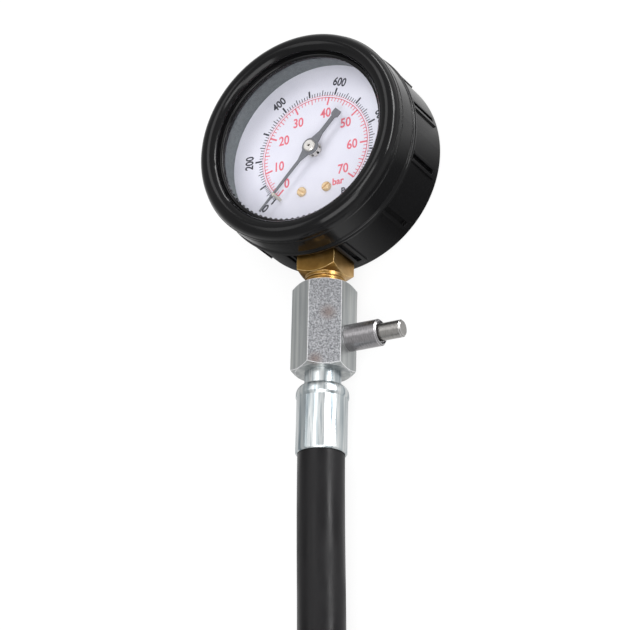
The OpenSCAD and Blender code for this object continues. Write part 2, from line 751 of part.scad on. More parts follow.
// The link, with its two pins: one turns in the sector's tail, the other stands over the tube's tip
module link() {
  color([0.8, 0.7, 0.5]) union() {
    translate([tail_pin[0], tail_pin[1], link_z]) rotate(link_angle) linear_extrude(link_t) {
      translate([0, -link_w / 2]) square([link_len, link_w]);
      circle(eye_r, $fn = small_fn);
      translate([link_len, 0]) circle(eye_r, $fn = small_fn);
    }
    translate([tail_pin[0], tail_pin[1], sector_z - 2 * seat_gap])
      cylinder(r = link_pin_r, h = link_z - sector_z + 2 * seat_gap + eps, $fn = small_fn);
    translate([tip_pin[0], tip_pin[1], link_z])
      cylinder(r = link_pin_r, h = 2 * sheet_t, $fn = small_fn);
  }
}

module tube_arc(from, to, w, h) {
  rotate(from) rotate_extrude(angle = to - from, $fn = round_fn) translate([tube_r, stem_z]) stadium(w, h);
}

module pressure_tube() {
  color([0.8, 0.66, 0.36]) difference() {
    tube_arc(tube_tip_angle, tube_root_angle, tube_w, tube_h);
    tube_arc(tube_tip_angle - cut, tube_root_angle + cut, tube_w - 2 * tube_wall, tube_h - 2 * tube_wall);
  }
}

module tube_tip() {
  color([0.74, 0.58, 0.32]) rotate(tube_tip_angle) union() {
    translate([tube_r - tip_wide / 2, -tip_len, stem_z - tip_tall / 2]) cube([tip_wide, tip_len, tip_tall]);
    translate([tube_r - tip_wide / 2 - tip_tab_len, -tip_tab_w / 2 - tip_len / 2, sector_z])
      cube([tip_tab_len + eps, tip_tab_w, sheet_t]);
  }
}

module gauge_socket() {
  side = socket_sq;
  color([0.68, 0.5, 0.24]) difference() {
    union() {
      socket_square();
      translate([-side / 2, block_in_y - cut, stem_z - side / 2])
        cube([side, tongue_end_y - block_in_y + cut, tongue_z - stem_z + side / 2]);
      down_y(0, stem_z) rotate_extrude($fn = round_fn) socket_turned();
    }
    down_y(-tube_r, stem_z) cylinder(r = gas_r / 2, h = -socket_end_y, $fn = small_fn);
    tube_arc(tube_root_angle - seat_turn, tube_root_angle + seat_end_turn, tube_w + 2 * run_gap, tube_h + 2 * run_gap);
    translate([-cross_bore_len, -tube_r, stem_z]) rotate([0, 90, 0])
      cylinder(r = gas_r / 2, h = cross_bore_len, $fn = small_fn);
    for (q = plate_screw_pts) translate([q[0], q[1], plate_lo - plate_screw_len - seat_gap])
      cylinder(r = plate_screw_r, h = plate_screw_len + cut, $fn = small_fn);
  }
}

// The square bar with its end turned down to the collar
module socket_square() {
  side = socket_sq;
  corner = side * corner_share;
  intersection() {
    translate([-side / 2, socket_y - collar_chamfer, stem_z - side / 2])
      cube([side, block_in_y - socket_y + collar_chamfer, side]);
    down_y(0, stem_z) rotate_extrude($fn = round_fn) polygon([[0, -block_in_y - cut], [corner, -block_in_y - cut],
      [corner, -socket_y - collar_chamfer], [collar_r, -socket_y + collar_chamfer], [0, -socket_y + collar_chamfer]]);
  }
}

// Collar, groove and thread, as a section over the distance below the dial's centre
module socket_turned() {
  groove_mid = -collar_end_y - collar_len * groove_share;
  difference() {
    union() {
      translate([0, -socket_y]) square([collar_r, collar_len]);
      translate([0, -socket_y]) square([socket_thread_r, collar_len + socket_thread_len]);
    }
    translate([collar_r, groove_mid]) circle(collar_groove_d, $fn = small_fn);
  }
}

module socket_washer() {
  color([0.72, 0.44, 0.28]) down_y(socket_end_y, stem_z) ring(washer_r, gas_r + washer_in, washer_t);
}

// A hexagonal bar along -Y whose ends are turned to a chamfer
module hex_bar(y, z, af, length, turn, x = 0) {
  r = af / sqrt(3);
  flat_r = af / 2 * hex_face_share;
  chamfer = (r - flat_r) * hex_chamfer_tan;
  down_y(y, z, x) intersection() {
    rotate(turn) cylinder(r = r, h = length, $fn = 6);
    rotate_extrude($fn = round_fn) polygon([[0, 0], [flat_r, 0], [r, chamfer], [r, length - chamfer],
      [flat_r, length], [0, length]]);
  }
}

module coupling_body() {
  color([0.6, 0.61, 0.62]) difference() {
    hex_bar(hex_top_y, stem_z, hex_af, hex_len, hex_turn);
    down_y(hex_top_y + cut, stem_z) cylinder(r = socket_thread_r + run_gap, h = upper_bore_len + cut, $fn = round_fn);
    down_y(hex_top_y, stem_z) cylinder(r = gas_r, h = hex_len, $fn = small_fn);
    down_y(hex_low_y + lower_bore_len, stem_z)
      cylinder(r = stem_shank_r + run_gap, h = lower_bore_len + cut, $fn = round_fn);
    along_x(chamber_end_x) cylinder(r = shank_r + run_gap, h = flat_x - chamber_end_x + cut, $fn = small_fn);
  }
}

module release_sleeve() {
  color([0.55, 0.55, 0.56]) along_x(0) rotate_extrude($fn = round_fn) difference() {
    union() {
      translate([0, shank_end_x]) square([shank_r, flat_x - shank_end_x + eps]);
      polygon([[0, flat_x], [sleeve_r, flat_x], [sleeve_r, sleeve_end_x - sleeve_edge],
        [sleeve_r - sleeve_edge, sleeve_end_x], [0, sleeve_end_x]]);
    }
    square([pin_stem_r + run_gap, sleeve_end_x + cut]);
    translate([0, sleeve_floor_x]) square([sleeve_bore_r, lip_x - sleeve_floor_x]);
    translate([0, sleeve_floor_x]) square([pin_r + run_gap, sleeve_out + cut]);
    translate([0, lip_x + lip_t]) square([pin_r + 2 * sleeve_edge, sleeve_end_x]);
  }
}

module release_pin() {
  color([0.66, 0.65, 0.66]) along_x(0) rotate_extrude($fn = round_fn)
    polygon([[0, poppet_x], [poppet_r, poppet_x], [poppet_r, poppet_x + poppet_t],
      [pin_stem_r, poppet_x + poppet_t], [pin_stem_r, flange_x], [sleeve_bore_r - run_gap, flange_x],
      [sleeve_bore_r - run_gap, flange_x + flange_t], [pin_r, flange_x + flange_t], [pin_r, pin_end_x - pin_edge],
      [pin_r - pin_edge, pin_end_x], [0, pin_end_x]]);
}

module torus(r, round_r) {
  rotate_extrude($fn = round_fn) translate([r, 0]) circle(round_r, $fn = small_fn);
}

module release_seal() {
  color([0.1, 0.1, 0.1]) along_x(poppet_x + poppet_t + seal_round) torus(seal_ring_r, seal_round);
}

// A helix of wire between the sleeve's floor and the pin's flange: rings of points along the turn
module release_spring() {
  per_turn = 16;
  sides = 6;
  steps = spring_turns * per_turn;
  rise = spring_len - 2 * spring_wire_r - 2 * run_gap;
  pts = [for (i = [0 : steps], k = [0 : sides - 1])
    let (a = 360 * i / per_turn, b = 360 * k / sides, r = spring_r + spring_wire_r * cos(b))
    [r * cos(a), r * sin(a), spring_wire_r + run_gap + rise * i / steps + spring_wire_r * sin(b)]];
  color([0.7, 0.7, 0.72]) along_x(sleeve_floor_x) polyhedron(pts, tube_faces(steps + 1, sides));
}

// Faces of a tube whose rings have the given number of points, closed at both ends
function tube_faces(rings, sides) = concat(
  [[for (k = [0 : sides - 1]) sides - 1 - k]],
  [for (i = [0 : rings - 2], k = [0 : sides - 1])
    let (a = i * sides + k, b = i * sides + (k + 1) % sides) [a, b, b + sides, a + sides]],
  [[for (k = [0 : sides - 1]) (rings - 1) * sides + k]]
);

// The stem that joins a ferrule to what it is fixed to: shank, neck and the plain insert in the hose
module stem_section(shank_len) {
  difference() {
    union() {
      square([stem_shank_r, shank_len + eps]);
      translate([0, shank_len]) square([neck_r, neck_len + stem_wall]);
      translate([0, shank_len]) square([barb_r, neck_len + dome_len + barb_len]);
    }
    translate([0, -cut]) square([stem_bore_r, shank_len + neck_len + dome_len + barb_len + 2 * cut]);
  }
}

module hose_stem() {
  color([0.66, 0.67, 0.68]) down_y(hex_low_y + lower_bore_len, stem_z) rotate_extrude($fn = round_fn)
    stem_section(lower_bore_len);
}

// The dome of a ferrule, as rings that follow a quarter of an ellipse from the mouth of its neck
module ellipse_turned(r, h) {
  steps = 8;
  foot = neck_r + dome_lip;
  rotate_extrude($fn = round_fn) polygon(concat([[0, 0]], [for (i = [0 : steps]) let (a = 90 * i / steps)
    [foot + (r - foot) * sin(a), h * (1 - cos(a))]], [[0, h]]));
}

// A crimped ferrule from its dome to its mouth, with flats round the crimped length
module ferrule() {
  difference() {
    union() {
      intersection() {
        ellipse_turned(shoulder_r, dome_len);
        cylinder(r = shoulder_r, h = crimp_start, $fn = round_fn);
      }
      rotate_extrude($fn = round_fn) polygon([[0, dome_len - eps], [shoulder_r, dome_len - eps],
        [shoulder_r, dome_len + shoulder_len], [crimp_r, crimp_start + eps], [0, crimp_start + eps]]);
      translate([0, 0, crimp_start]) intersection() {
        rotate(180 / crimp_n) cylinder(r = crimp_r / cos(180 / crimp_n), h = ferrule_len - crimp_start, $fn = crimp_n);
        rotate_extrude($fn = round_fn) polygon([[0, 0], [crimp_corner_r, 0],
          [crimp_corner_r, ferrule_len - crimp_start - mouth_edge],
          [crimp_r - mouth_edge / 2, ferrule_len - crimp_start], [0, ferrule_len - crimp_start]]);
      }
    }
    translate([0, 0, -cut]) cylinder(r = neck_r + run_gap, h = ferrule_len, $fn = round_fn);
    translate([0, 0, dome_len - seat_gap]) cylinder(r = ferrule_bore_r, h = ferrule_len, $fn = round_fn);
  }
}

module upper_ferrule() {
  color([0.74, 0.76, 0.8]) down_y(ferrule_y, stem_z) ferrule();
}

module lower_ferrule() {
  color([0.74, 0.76, 0.8]) down_y(end_ferrule_y, end_z, end_x) mirror([0, 0, 1]) ferrule();
}

// The hose: rings of points along its route, an outer wall and a bore
function ring_pts(r) = [for (q = route, k = [0 : hose_sides - 1])
  let (a = 360 * (k + 0.5) / hose_sides) [q[1] + r * cos(a), hose_start_y - q[0], q[2] + r * sin(a)]];

module hose() {
  rings = len(route);
  n = hose_sides;
  bore = hose_bore_r / cos(180 / n);
  shift = rings * n;
  walls = [for (i = [0 : rings - 2], k = [0 : n - 1])
    let (a = i * n + k, b = i * n + (k + 1) % n) each [[a, b, b + n, a + n], [a + n + shift, b + n + shift, b + shift, a + shift]]];
  ends = [for (k = [0 : n - 1]) let (j = (k + 1) % n, e = (rings - 1) * n)
    each [[k + shift, j + shift, j, k], [e + k, e + j, e + j + shift, e + k + shift]]];
  color([0.12, 0.11, 0.12]) polyhedron(concat(ring_pts(hose_r), ring_pts(bore)), concat(walls, ends));
}

// The end fitting: stem, hexagon, relief for the seal and the male thread's outside
module end_fitting() {
  color([0.68, 0.69, 0.7]) difference() {
    union() {
      hex_bar(end_hex_y, end_z, end_af, end_hex_len, 0, end_x);
      down_y(end_hex_y - cut, end_z, end_x) mirror([0, 0, 1]) rotate_extrude($fn = round_fn) stem_section(cut);
      down_y(end_face_y - eps, end_z, end_x) rotate_extrude($fn = round_fn) polygon([[0, -cut],
        [thread_r - thread_relief, -cut], [thread_r - thread_relief, relief_w], [thread_r, relief_w + thread_relief],
        [thread_r, thread_len - thread_edge], [thread_r - thread_edge, thread_len], [0, thread_len]]);
    }
    down_y(end_hex_y + cut, end_z, end_x) cylinder(r = stem_bore_r, h = end_hex_len, $fn = small_fn);
    down_y(thread_end_y + core_len + core_seat_len, end_z, end_x)
      cylinder(r = core_r + run_gap, h = core_len + core_seat_len + cut, $fn = small_fn);
  }
}

module end_seal() {
  color([0.08, 0.08, 0.08]) down_y(end_face_y - end_seal_round - run_gap, end_z, end_x)
    torus(thread_r - thread_relief + end_seal_round + run_gap, end_seal_round);
}

module end_valve() {
  color([0.78, 0.64, 0.4]) down_y(thread_end_y + core_len + core_seat_len, end_z, end_x) union() {
    cylinder(r = core_r, h = core_len, $fn = small_fn);
    cylinder(r = core_head_r, h = core_len + core_seat_len / 4, $fn = small_fn);
    cylinder(r = core_stem_r, h = core_len + core_seat_len / 2, $fn = small_fn);
  }
}

case_cup();
bezel_ring();
window_lens();
lens_gasket();
spacer_ring();
dial_plate();
dial_screws();
stop_pin();
pointer();
pointer_hub();
pinion_arbor();
movement_back_plate();
movement_front_plate();
movement_pillars();
movement_screws();
sector_gear();
hairspring();
link();
pressure_tube();
tube_tip();
gauge_socket();
socket_washer();
coupling_body();
release_sleeve();
release_pin();
release_seal();
release_spring();
hose_stem();
upper_ferrule();
hose();
lower_ferrule();
end_fitting();
end_seal();
end_valve();
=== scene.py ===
"""Looks for the compression tester gauge: camera, hose, end thread, spring, dial print, finishes and studio.

Lengths are in metres and the frame is the part's: +Z is the dial's normal, the hose runs along -Y and the
release valve points to +X. Sizes written in millimetres carry the factor MM.
"""
import math

import bmesh
import bpy
import numpy as np
from mathutils import Matrix, Vector


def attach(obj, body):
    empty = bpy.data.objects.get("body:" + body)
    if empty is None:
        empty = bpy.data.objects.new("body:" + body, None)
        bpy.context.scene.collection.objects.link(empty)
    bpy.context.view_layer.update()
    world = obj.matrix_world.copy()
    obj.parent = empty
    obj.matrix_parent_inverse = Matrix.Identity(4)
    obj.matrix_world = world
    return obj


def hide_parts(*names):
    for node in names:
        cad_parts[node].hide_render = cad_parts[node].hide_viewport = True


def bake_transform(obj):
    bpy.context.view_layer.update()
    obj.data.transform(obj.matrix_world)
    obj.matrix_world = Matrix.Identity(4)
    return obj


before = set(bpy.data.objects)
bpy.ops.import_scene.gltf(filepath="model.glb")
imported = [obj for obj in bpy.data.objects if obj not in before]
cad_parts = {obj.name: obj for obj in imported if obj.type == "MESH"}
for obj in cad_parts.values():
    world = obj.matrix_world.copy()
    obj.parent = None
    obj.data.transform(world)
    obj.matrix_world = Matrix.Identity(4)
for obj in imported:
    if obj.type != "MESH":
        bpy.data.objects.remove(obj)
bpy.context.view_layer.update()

MM = 0.001
TURN = 2 * math.pi

# Camera: place and axes in the part's frame, focal length in picture widths, and clipping distances
CAMERA_AT = np.array([309.0, -319.8, 561.8]) * MM
CAMERA_BACK = np.array([0.4531, -0.3915, 0.8009])
CAMERA_RIGHT = np.array([0.8748, 0.0226, -0.4839])
FOCAL_WIDTHS = 2333.1 / 630
SENSOR = 36.0
CLIP_NEAR = 0.02
CLIP_FAR = 20.0


def set_camera():
    """The camera looks along -CAMERA_BACK; its up direction is back x right."""
    data = bpy.data.cameras.new("camera")
    camera = bpy.data.objects.new("camera", data)
    bpy.context.scene.collection.objects.link(camera)
    back = Vector(CAMERA_BACK).normalized()
    right = Vector(CAMERA_RIGHT)
    right = (right - back * right.dot(back)).normalized()
    up = back.cross(right)
    turn = Matrix((right, up, back)).transposed()
    camera.matrix_world = Matrix.Translation(Vector(CAMERA_AT)) @ turn.to_4x4()
    data.sensor_width = SENSOR
    data.lens = FOCAL_WIDTHS * SENSOR
    data.clip_start = CLIP_NEAR
    data.clip_end = CLIP_FAR
    bpy.context.scene.camera = camera


# Meshes
CURVE_STEPS = 12


def mesh_piece(name, points, faces, body="gauge", smooth=True):
    """A mesh object at the origin from points and a list of faces, riding on a body of the frame."""
    mesh = bpy.data.meshes.new(name)
    mesh.from_pydata(np.asarray(points, float).tolist(), [], faces)
    mesh.update()
    mesh.polygons.foreach_set("use_smooth", [smooth] * len(mesh.polygons))
    piece = bpy.data.objects.new(name, mesh)
    bpy.context.scene.collection.objects.link(piece)
    if body:
        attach(piece, body)
    return piece


def fix_normals(piece):
    """Faces of a closed mesh all turned outwards."""
    work = bmesh.new()
    work.from_mesh(piece.data)
    bmesh.ops.recalc_face_normals(work, faces=work.faces)
    work.to_mesh(piece.data)
    work.free()


def grid_faces(rows, cols, close_rows=False, close_cols=True):
    """A list of quads between the points of a grid, whose last row or column may join the first."""
    i = np.arange(rows if close_rows else rows - 1)
    j = np.arange(cols if close_cols else cols - 1)
    i, j = np.meshgrid(i, j, indexing="ij")
    a = i * cols + j
    b = i * cols + (j + 1) % cols
    c = (i + 1) % rows * cols + (j + 1) % cols
    d = (i + 1) % rows * cols + j
    return np.stack([a, b, c, d], -1).reshape(-1, 4).tolist()


def smooth_path(points, count):
    """Points at even steps along a Catmull-Rom curve through the given points."""
    p = np.vstack([2 * points[0] - points[1], points, 2 * points[-1] - points[-2]])
    t = np.linspace(0, 1, CURVE_STEPS, endpoint=False)[:, None]
    parts = []
    for a, b, c, d in zip(p[:-3], p[1:-2], p[2:-1], p[3:]):
        square = (2 * a - 5 * b + 4 * c - d) * t**2
        cube = (3 * b - a - 3 * c + d) * t**3
        parts.append(0.5 * (2 * b + (c - a) * t + square + cube))
    fine = np.vstack(parts + [points[-1:]])
    run = np.concatenate([[0], np.cumsum(np.linalg.norm(np.diff(fine, axis=0), axis=1))])
    even = np.linspace(0, run[-1], count)
    return np.stack([np.interp(even, run, fine[:, k]) for k in range(3)], 1)


# Hose: the route repeats the solid's own points, in millimetres: along -Y from the first ring, x and height
HOSE_START_Y = -76.4
HOSE_R = 6.9 * MM
HOSE_BORE_R = 3.2 * MM
HOSE_LENGTH = 350
HOSE_ROUTE = [
    (0, 0, 10), (10, 0, 10), (20, 0, 10), (40, 0.4, 9.9), (60, 1, 9.8), (85, 1.7, 9.6),
    (110, 2.4, 9.4), (140, 3.1, 9.2), (170, 3.6, 9), (200, 3.9, 8.8), (230, 4, 8.7), (260, 4, 8.6),
    (285, 4, 8.5), (310, 4, 8.5), (330, 4, 8.5), (340, 4, 8.5), (HOSE_LENGTH, 4, 8.5),
]
HOSE_RINGS = 260
HOSE_SIDES = 48


def make_hose():
    """A tube: rings of points round the smoothed route, an outer wall and a bore joined at both ends."""
    route = np.array([(x, HOSE_START_Y - run, z) for run, x, z in HOSE_ROUTE]) * MM
    path = smooth_path(route, HOSE_RINGS)
    sides = HOSE_SIDES
    a = np.arange(sides) / sides * TURN
    ring = np.stack([np.cos(a), np.zeros(sides), np.sin(a)], 1)
    outer = path[:, None] + ring * HOSE_R
    inner = path[::-1, None] + ring * HOSE_BORE_R
    points = np.concatenate([outer, inner]).reshape(-1, 3)
    faces = grid_faces(2 * len(path), sides, close_rows=True)
    hose = mesh_piece("hose_tube", points, faces)
    uv = hose.data.uv_layers.new(name="along")
    index = np.zeros(len(hose.data.loops), np.int32)
    hose.data.loops.foreach_get("vertex_index", index)
    row, col = index // sides, index % sides
    run = np.where(row < len(path), row, 2 * len(path) - 1 - row) / len(path)
    uv.data.foreach_set("uv", np.stack([run, col / sides], 1).ravel())
    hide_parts("hose")
    return hose, path


# End thread, in millimetres: its axis (x and height), radii, pitch, depth and the limits of its length.
# The fitting under it is drawn in to the core past its shoulder. The ridges are a wall of their own
# round the core
THREAD_AXIS = (4.0, 8.5)
THREAD_R = 7.0
THREAD_CORE_R = 5.9
THREAD_PITCH = 1.25
THREAD_DEPTH = 0.75
THREAD_FROM = -446.5
THREAD_TO = -456.2
THREAD_CORE_FROM = THREAD_FROM + 1
THREAD_RUN_OUT = 0.4
THREAD_WALL = 0.2
THREAD_LEAD_IN = 0.1
THREAD_OVERHANG = 0.01
THREAD_ROWS = 140
THREAD_SIDES = 72


def make_end_thread():
    """The end fitting with its thread cut: a helical surface over the solid's own shape.

    The radius at angle a and place y is the outside radius, less the depth times half of one minus the cosine
    of the phase. The phase is a whole turn times y over the pitch, less a. Chamfers at 45 degrees limit it at
    both ends.
    """
    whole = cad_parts["end_fitting"].data.copy()
    work = bmesh.new()
    work.from_mesh(whole)
    bmesh.ops.remove_doubles(work, verts=work.verts, dist=0.001 * MM)
    for vertex in work.verts:
        side = Vector((vertex.co.x / MM - THREAD_AXIS[0], vertex.co.z / MM - THREAD_AXIS[1]))
        if vertex.co.y < THREAD_CORE_FROM * MM and side.length > THREAD_CORE_R:
            side *= THREAD_CORE_R / side.length
            vertex.co.x = (side.x + THREAD_AXIS[0]) * MM
            vertex.co.z = (side.y + THREAD_AXIS[1]) * MM
    work.to_mesh(whole)
    work.free()
    rows, sides = THREAD_ROWS, THREAD_SIDES
    start = THREAD_FROM + THREAD_RUN_OUT
    y = np.linspace(start, THREAD_TO + THREAD_OVERHANG, rows)[:, None]
    a = (np.arange(sides) / sides * TURN)[None, :]
    wave = THREAD_R - THREAD_DEPTH * 0.5 * (1 - np.cos(TURN * y / THREAD_PITCH - a))
    run_out = THREAD_CORE_R + THREAD_WALL + start - y
    lead_in = THREAD_CORE_R + THREAD_LEAD_IN + y - THREAD_TO
    outer = np.minimum(wave, np.minimum(run_out, lead_in))
    inner = np.full((rows, sides), THREAD_CORE_R - THREAD_WALL)
    radius = np.concatenate([outer, inner[::-1]])
    along = np.broadcast_to(np.concatenate([y, y[::-1]]), radius.shape)
    points = np.stack(
        [radius * np.cos(a) + THREAD_AXIS[0], along, radius * np.sin(a) + THREAD_AXIS[1]], -1
    ).reshape(-1, 3) * MM
    base = len(whole.vertices)
    ridges = [[base + corner for corner in face] for face in grid_faces(2 * rows, sides, close_rows=True)]
    all_points = [tuple(v.co) for v in whole.vertices] + points.tolist()
    all_faces = [list(p.vertices) for p in whole.polygons] + ridges
    smooth = [p.use_smooth for p in whole.polygons] + [True] * len(ridges)
    bpy.data.meshes.remove(whole)
    piece = mesh_piece("end_fitting_cut", all_points, all_faces)
    piece.data.polygons.foreach_set("use_smooth", smooth)
    fix_normals(piece)
    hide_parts("end_fitting")
    return piece


# Release spring, in millimetres: x of its two ends, at the sleeve's floor and the pin's flange, and its axis
SPRING_ENDS = (8.833, 15.017)
SPRING_AXIS = (-59.6, 10.0)
SPRING_R = 2.275
SPRING_WIRE_R = 0.25
SPRING_TURNS = 5
SPRING_TURN_STEPS = 40
SPRING_SIDES = 12


def make_release_spring():
    """The release spring as a tube along a helix between its two fixed ends.

    The path's angle grows evenly with its place along the axis. A point of the tube lies at the wire's radius
    from the path, in the plane through the axis. Discs close both ends.
    """
    steps, sides = SPRING_TURNS * SPRING_TURN_STEPS + 1, SPRING_SIDES
    t = np.linspace(0, 1, steps)[:, None]
    a = t * SPRING_TURNS * TURN
    b = (np.arange(sides) / sides * TURN)[None, :]
    r = SPRING_R + SPRING_WIRE_R * np.cos(b)
    reach = SPRING_ENDS[1] - SPRING_ENDS[0] - 2 * SPRING_WIRE_R
    x = SPRING_ENDS[0] + SPRING_WIRE_R + reach * t + SPRING_WIRE_R * np.sin(b)
    y = SPRING_AXIS[0] + r * np.cos(a)
    z = SPRING_AXIS[1] + r * np.sin(a)
    points = np.stack([x, y, z], -1).reshape(-1, 3) * MM
    discs = [list(range(sides)), [(steps - 1) * sides + k for k in range(sides)]]
    faces = grid_faces(steps, sides) + discs
    piece = mesh_piece("coil_spring", points, faces, body=None)
    fix_normals(piece)
    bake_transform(piece)
    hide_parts("release_spring")
    return piece


set_camera()
hose, hose_path = make_hose()
end_fitting = make_end_thread()
valve_spring = make_release_spring()

# Dial print: two scales on one ring of angles. The first interval of each is shorter, as on gauges with
# a stop pin
DIAL_TOP = 17.8 * MM
PRINT_T = 0.03 * MM
BAR_STEP = -3.911
BAR_ZERO = 232.3
STOP_ZERO = 225.0
BARS = 70
PSI_PER_BAR = 14.5038
PSIS = 1000
BAR_LINE_R = 17.6
PSI_LINE_R = 18.25
FIRST_BAR = 10
FIRST_PSI = 100
# Marks by the step they stand on, the widest step first, in millimetres. Bar: inner radius and width.
# Psi: inner radius, outer radius and width
BAR_MARKS = {10: (15.1, 0.55), 5: (15.9, 0.3), 1: (16.5, 0.25)}
PSI_MARKS = {100: (18.6, 20.9, 0.55), 50: (PSI_LINE_R, 20.1, 0.27), 10: (PSI_LINE_R, 19.5, 0.23)}
BAR_LINE_T = 0.26
PSI_LINE_T = 0.12
ARC_STEPS = 181
# Middles of the numerals: (angle, radius) for 0 to 70 bar, and the angle for 0 to 1000 psi
BAR_FIGURES = [
    (222.4, 13.0), (191.6, 12.5), (151.7, 12.5), (119.5, 12.5), (75.2, 12.5), (35.4, 12.5), (357.7, 12.5),
    (320.1, 12.5),
]
PSI_FIGURES = [223, 178, 125, 70, 17, -34]
PSI_FIGURES_R = 23.0
BAR_FIGURE_SIZE = 3.1
BAR_FIGURE_WIDE = 0.84
PSI_FIGURE_SIZE = 2.75
PSI_FIGURE_WIDE = 0.8
# The two words: (text, angle, radius, height, turn, width share), and how far the type is thickened
BAR_WORD = ("bar", 304.1, 14.3, 2.2, 0, 0.95)
PSI_WORD = ("Psi", 304.2, 18.6, 2.0, 0, 0.9)
TYPE_SPREAD = 0.09 * MM
CAPITAL_SHARE = 0.72


def bar_angle(bar, first):
    """Angle of a reading in degrees: even steps, but shorter ones up to the first numbered reading."""
    if bar >= first:
        return BAR_ZERO + BAR_STEP * bar
    return STOP_ZERO + (BAR_ZERO + BAR_STEP * first - STOP_ZERO) * bar / first


def printed_bars(name, bars, ink):
    """Thin boxes on the dial, one for each (angle, inner radius, outer radius, width), all as one mesh."""
    rows = np.array(bars, float)
    angle = np.radians(rows[:, 0])
    out = np.stack([np.cos(angle), np.sin(angle)], 1)
    side = np.stack([-np.sin(angle), np.cos(angle)], 1)
    half = rows[:, 3:4] / 2
    corners = [
        out * rows[:, 1:2] - side * half,
        out * rows[:, 2:3] - side * half,
        out * rows[:, 2:3] + side * half,
        out * rows[:, 1:2] + side * half,
    ]
    flat = np.stack(corners, 1) * MM
    low = np.concatenate([flat, np.full(flat.shape[:2] + (1,), DIAL_TOP)], 2)
    high = low + np.array([0, 0, PRINT_T])
    points = np.concatenate([low, high], 1).reshape(-1, 3)
    box = np.array([[3, 2, 1, 0], [4, 5, 6, 7], [0, 1, 5, 4], [1, 2, 6, 5], [2, 3, 7, 6], [3, 0, 4, 7]])
    faces = (np.arange(len(rows))[:, None, None] * 8 + box).reshape(-1, 4).tolist()
    piece = mesh_piece(name, points, faces, smooth=False)
    piece.data.materials.append(ink)


def printed_arc(name, radius, width, start, end, ink):
    """A thin band with a rectangular section that follows part of a circle on the dial."""
    angle = np.radians(np.linspace(start, end, ARC_STEPS))[:, None]
    inner, outer = radius - width / 2, radius + width / 2
    radii = np.array([inner, outer, outer, inner]) * MM
    heights = np.array([DIAL_TOP, DIAL_TOP, DIAL_TOP + PRINT_T, DIAL_TOP + PRINT_T]) + 0 * angle
    points = np.stack([np.cos(angle) * radii, np.sin(angle) * radii, heights], -1).reshape(-1, 3)
    ends = [[0, 1, 2, 3], [4 * ARC_STEPS - 1 - k for k in range(4)]]
    piece = mesh_piece(name, points, grid_faces(ARC_STEPS, 4) + ends, smooth=False)
    fix_normals(piece)
    piece.data.materials.append(ink)


def printed_words(name, words, ink):
    """Figures as one mesh, each (text, angle, radius, height, turn, width share), in mm and degrees."""
    points, faces = [], []
    for text, angle, radius, height, turn, wide in words:
        curve = bpy.data.curves.new(name, "FONT")
        curve.body = text
        curve.align_x = "CENTER"
        curve.align_y = "CENTER"
        curve.size = height * MM / CAPITAL_SHARE
        curve.extrude = PRINT_T / 2
        curve.offset = TYPE_SPREAD
        curve.resolution_u = 4
        holder = bpy.data.objects.new(name, curve)
        bpy.context.scene.collection.objects.link(holder)
        bpy.context.view_layer.update()
        mesh = bpy.data.meshes.new_from_object(holder.evaluated_get(bpy.context.evaluated_depsgraph_get()))
        corners = [v.co for v in mesh.vertices]
        middle = [(min(c[k] for c in corners) + max(c[k] for c in corners)) / 2 for k in range(2)]
        a = math.radians(angle)
        at = (radius * MM * math.cos(a), radius * MM * math.sin(a), DIAL_TOP + PRINT_T / 2)
        shape = Matrix.Diagonal((wide, 1, 1, 1)) @ Matrix.Translation((-middle[0], -middle[1], 0))
        mesh.transform(Matrix.Translation(at) @ Matrix.Rotation(math.radians(turn), 4, "Z") @ shape)
        base = len(points)
        points += [tuple(v.co) for v in mesh.vertices]
        faces += [[base + corner for corner in face.vertices] for face in mesh.polygons]
        bpy.data.objects.remove(holder)
        bpy.data.meshes.remove(mesh)
    piece = mesh_piece(name, points, faces, smooth=False)
    piece.data.materials.append(ink)


# Materials. Rust patches on the coupling's blasted flat: middle and reach, in millimetres
RUST_SPOTS = [((5.0, -53.2, 16.8), 3.0), ((2.0, -68.1, 18.5), 2.8)]
BLASTED_SIDE = (0.5, 0, 0.866)
# Cosines between which an edge gets its painted highlight: a bevelled normal this far from the flat one
EDGE_HIGHLIGHT_FROM = 0.998
EDGE_HIGHLIGHT_TO = 0.96


def linear(code, alpha=1.0):
    """An sRGB hex colour as linear red, green, blue and alpha."""
    parts = [int(code[i : i + 2], 16) / 255 for i in (1, 3, 5)]
    return tuple(c / 12.92 if c <= 0.04045 else ((c + 0.055) / 1.055) ** 2.4 for c in parts) + (alpha,)


def add(material, kind, settings=None, links=None, **values):
    """Adds a node, sets its attributes and input values, and links (socket, from node, output) into it."""
    node = material.node_tree.nodes.new(kind)
    for name, value in (settings or {}).items():
        setattr(node, name, value)
    for name, value in values.items():
        node.inputs[name.replace("_", " ")].default_value = value
    for socket, source, output in links or []:
        material.node_tree.links.new(source.outputs[output], node.inputs[socket])
    return node


def finish_of(name, colour, metallic=0.0, roughness=0.5, **extra):
    """A new material with its surface shader, both returned, with the output linked."""
    material = bpy.data.materials.new(name)
    material.use_nodes = True
    material.node_tree.nodes.clear()
    surface = add(material, "ShaderNodeBsdfPrincipled")
    surface.inputs["Base Color"].default_value = linear(colour)
    surface.inputs["Metallic"].default_value = metallic
    surface.inputs["Roughness"].default_value = roughness
    for socket, value in extra.items():
        surface.inputs[socket.replace("_", " ")].default_value = value
    add(material, "ShaderNodeOutputMaterial", links=[("Surface", surface, "BSDF")])
    return material, surface


def per_metre(pitch_mm):
    """Noise scale whose features are about that many millimetres apart."""
    return 1 / (pitch_mm * MM)


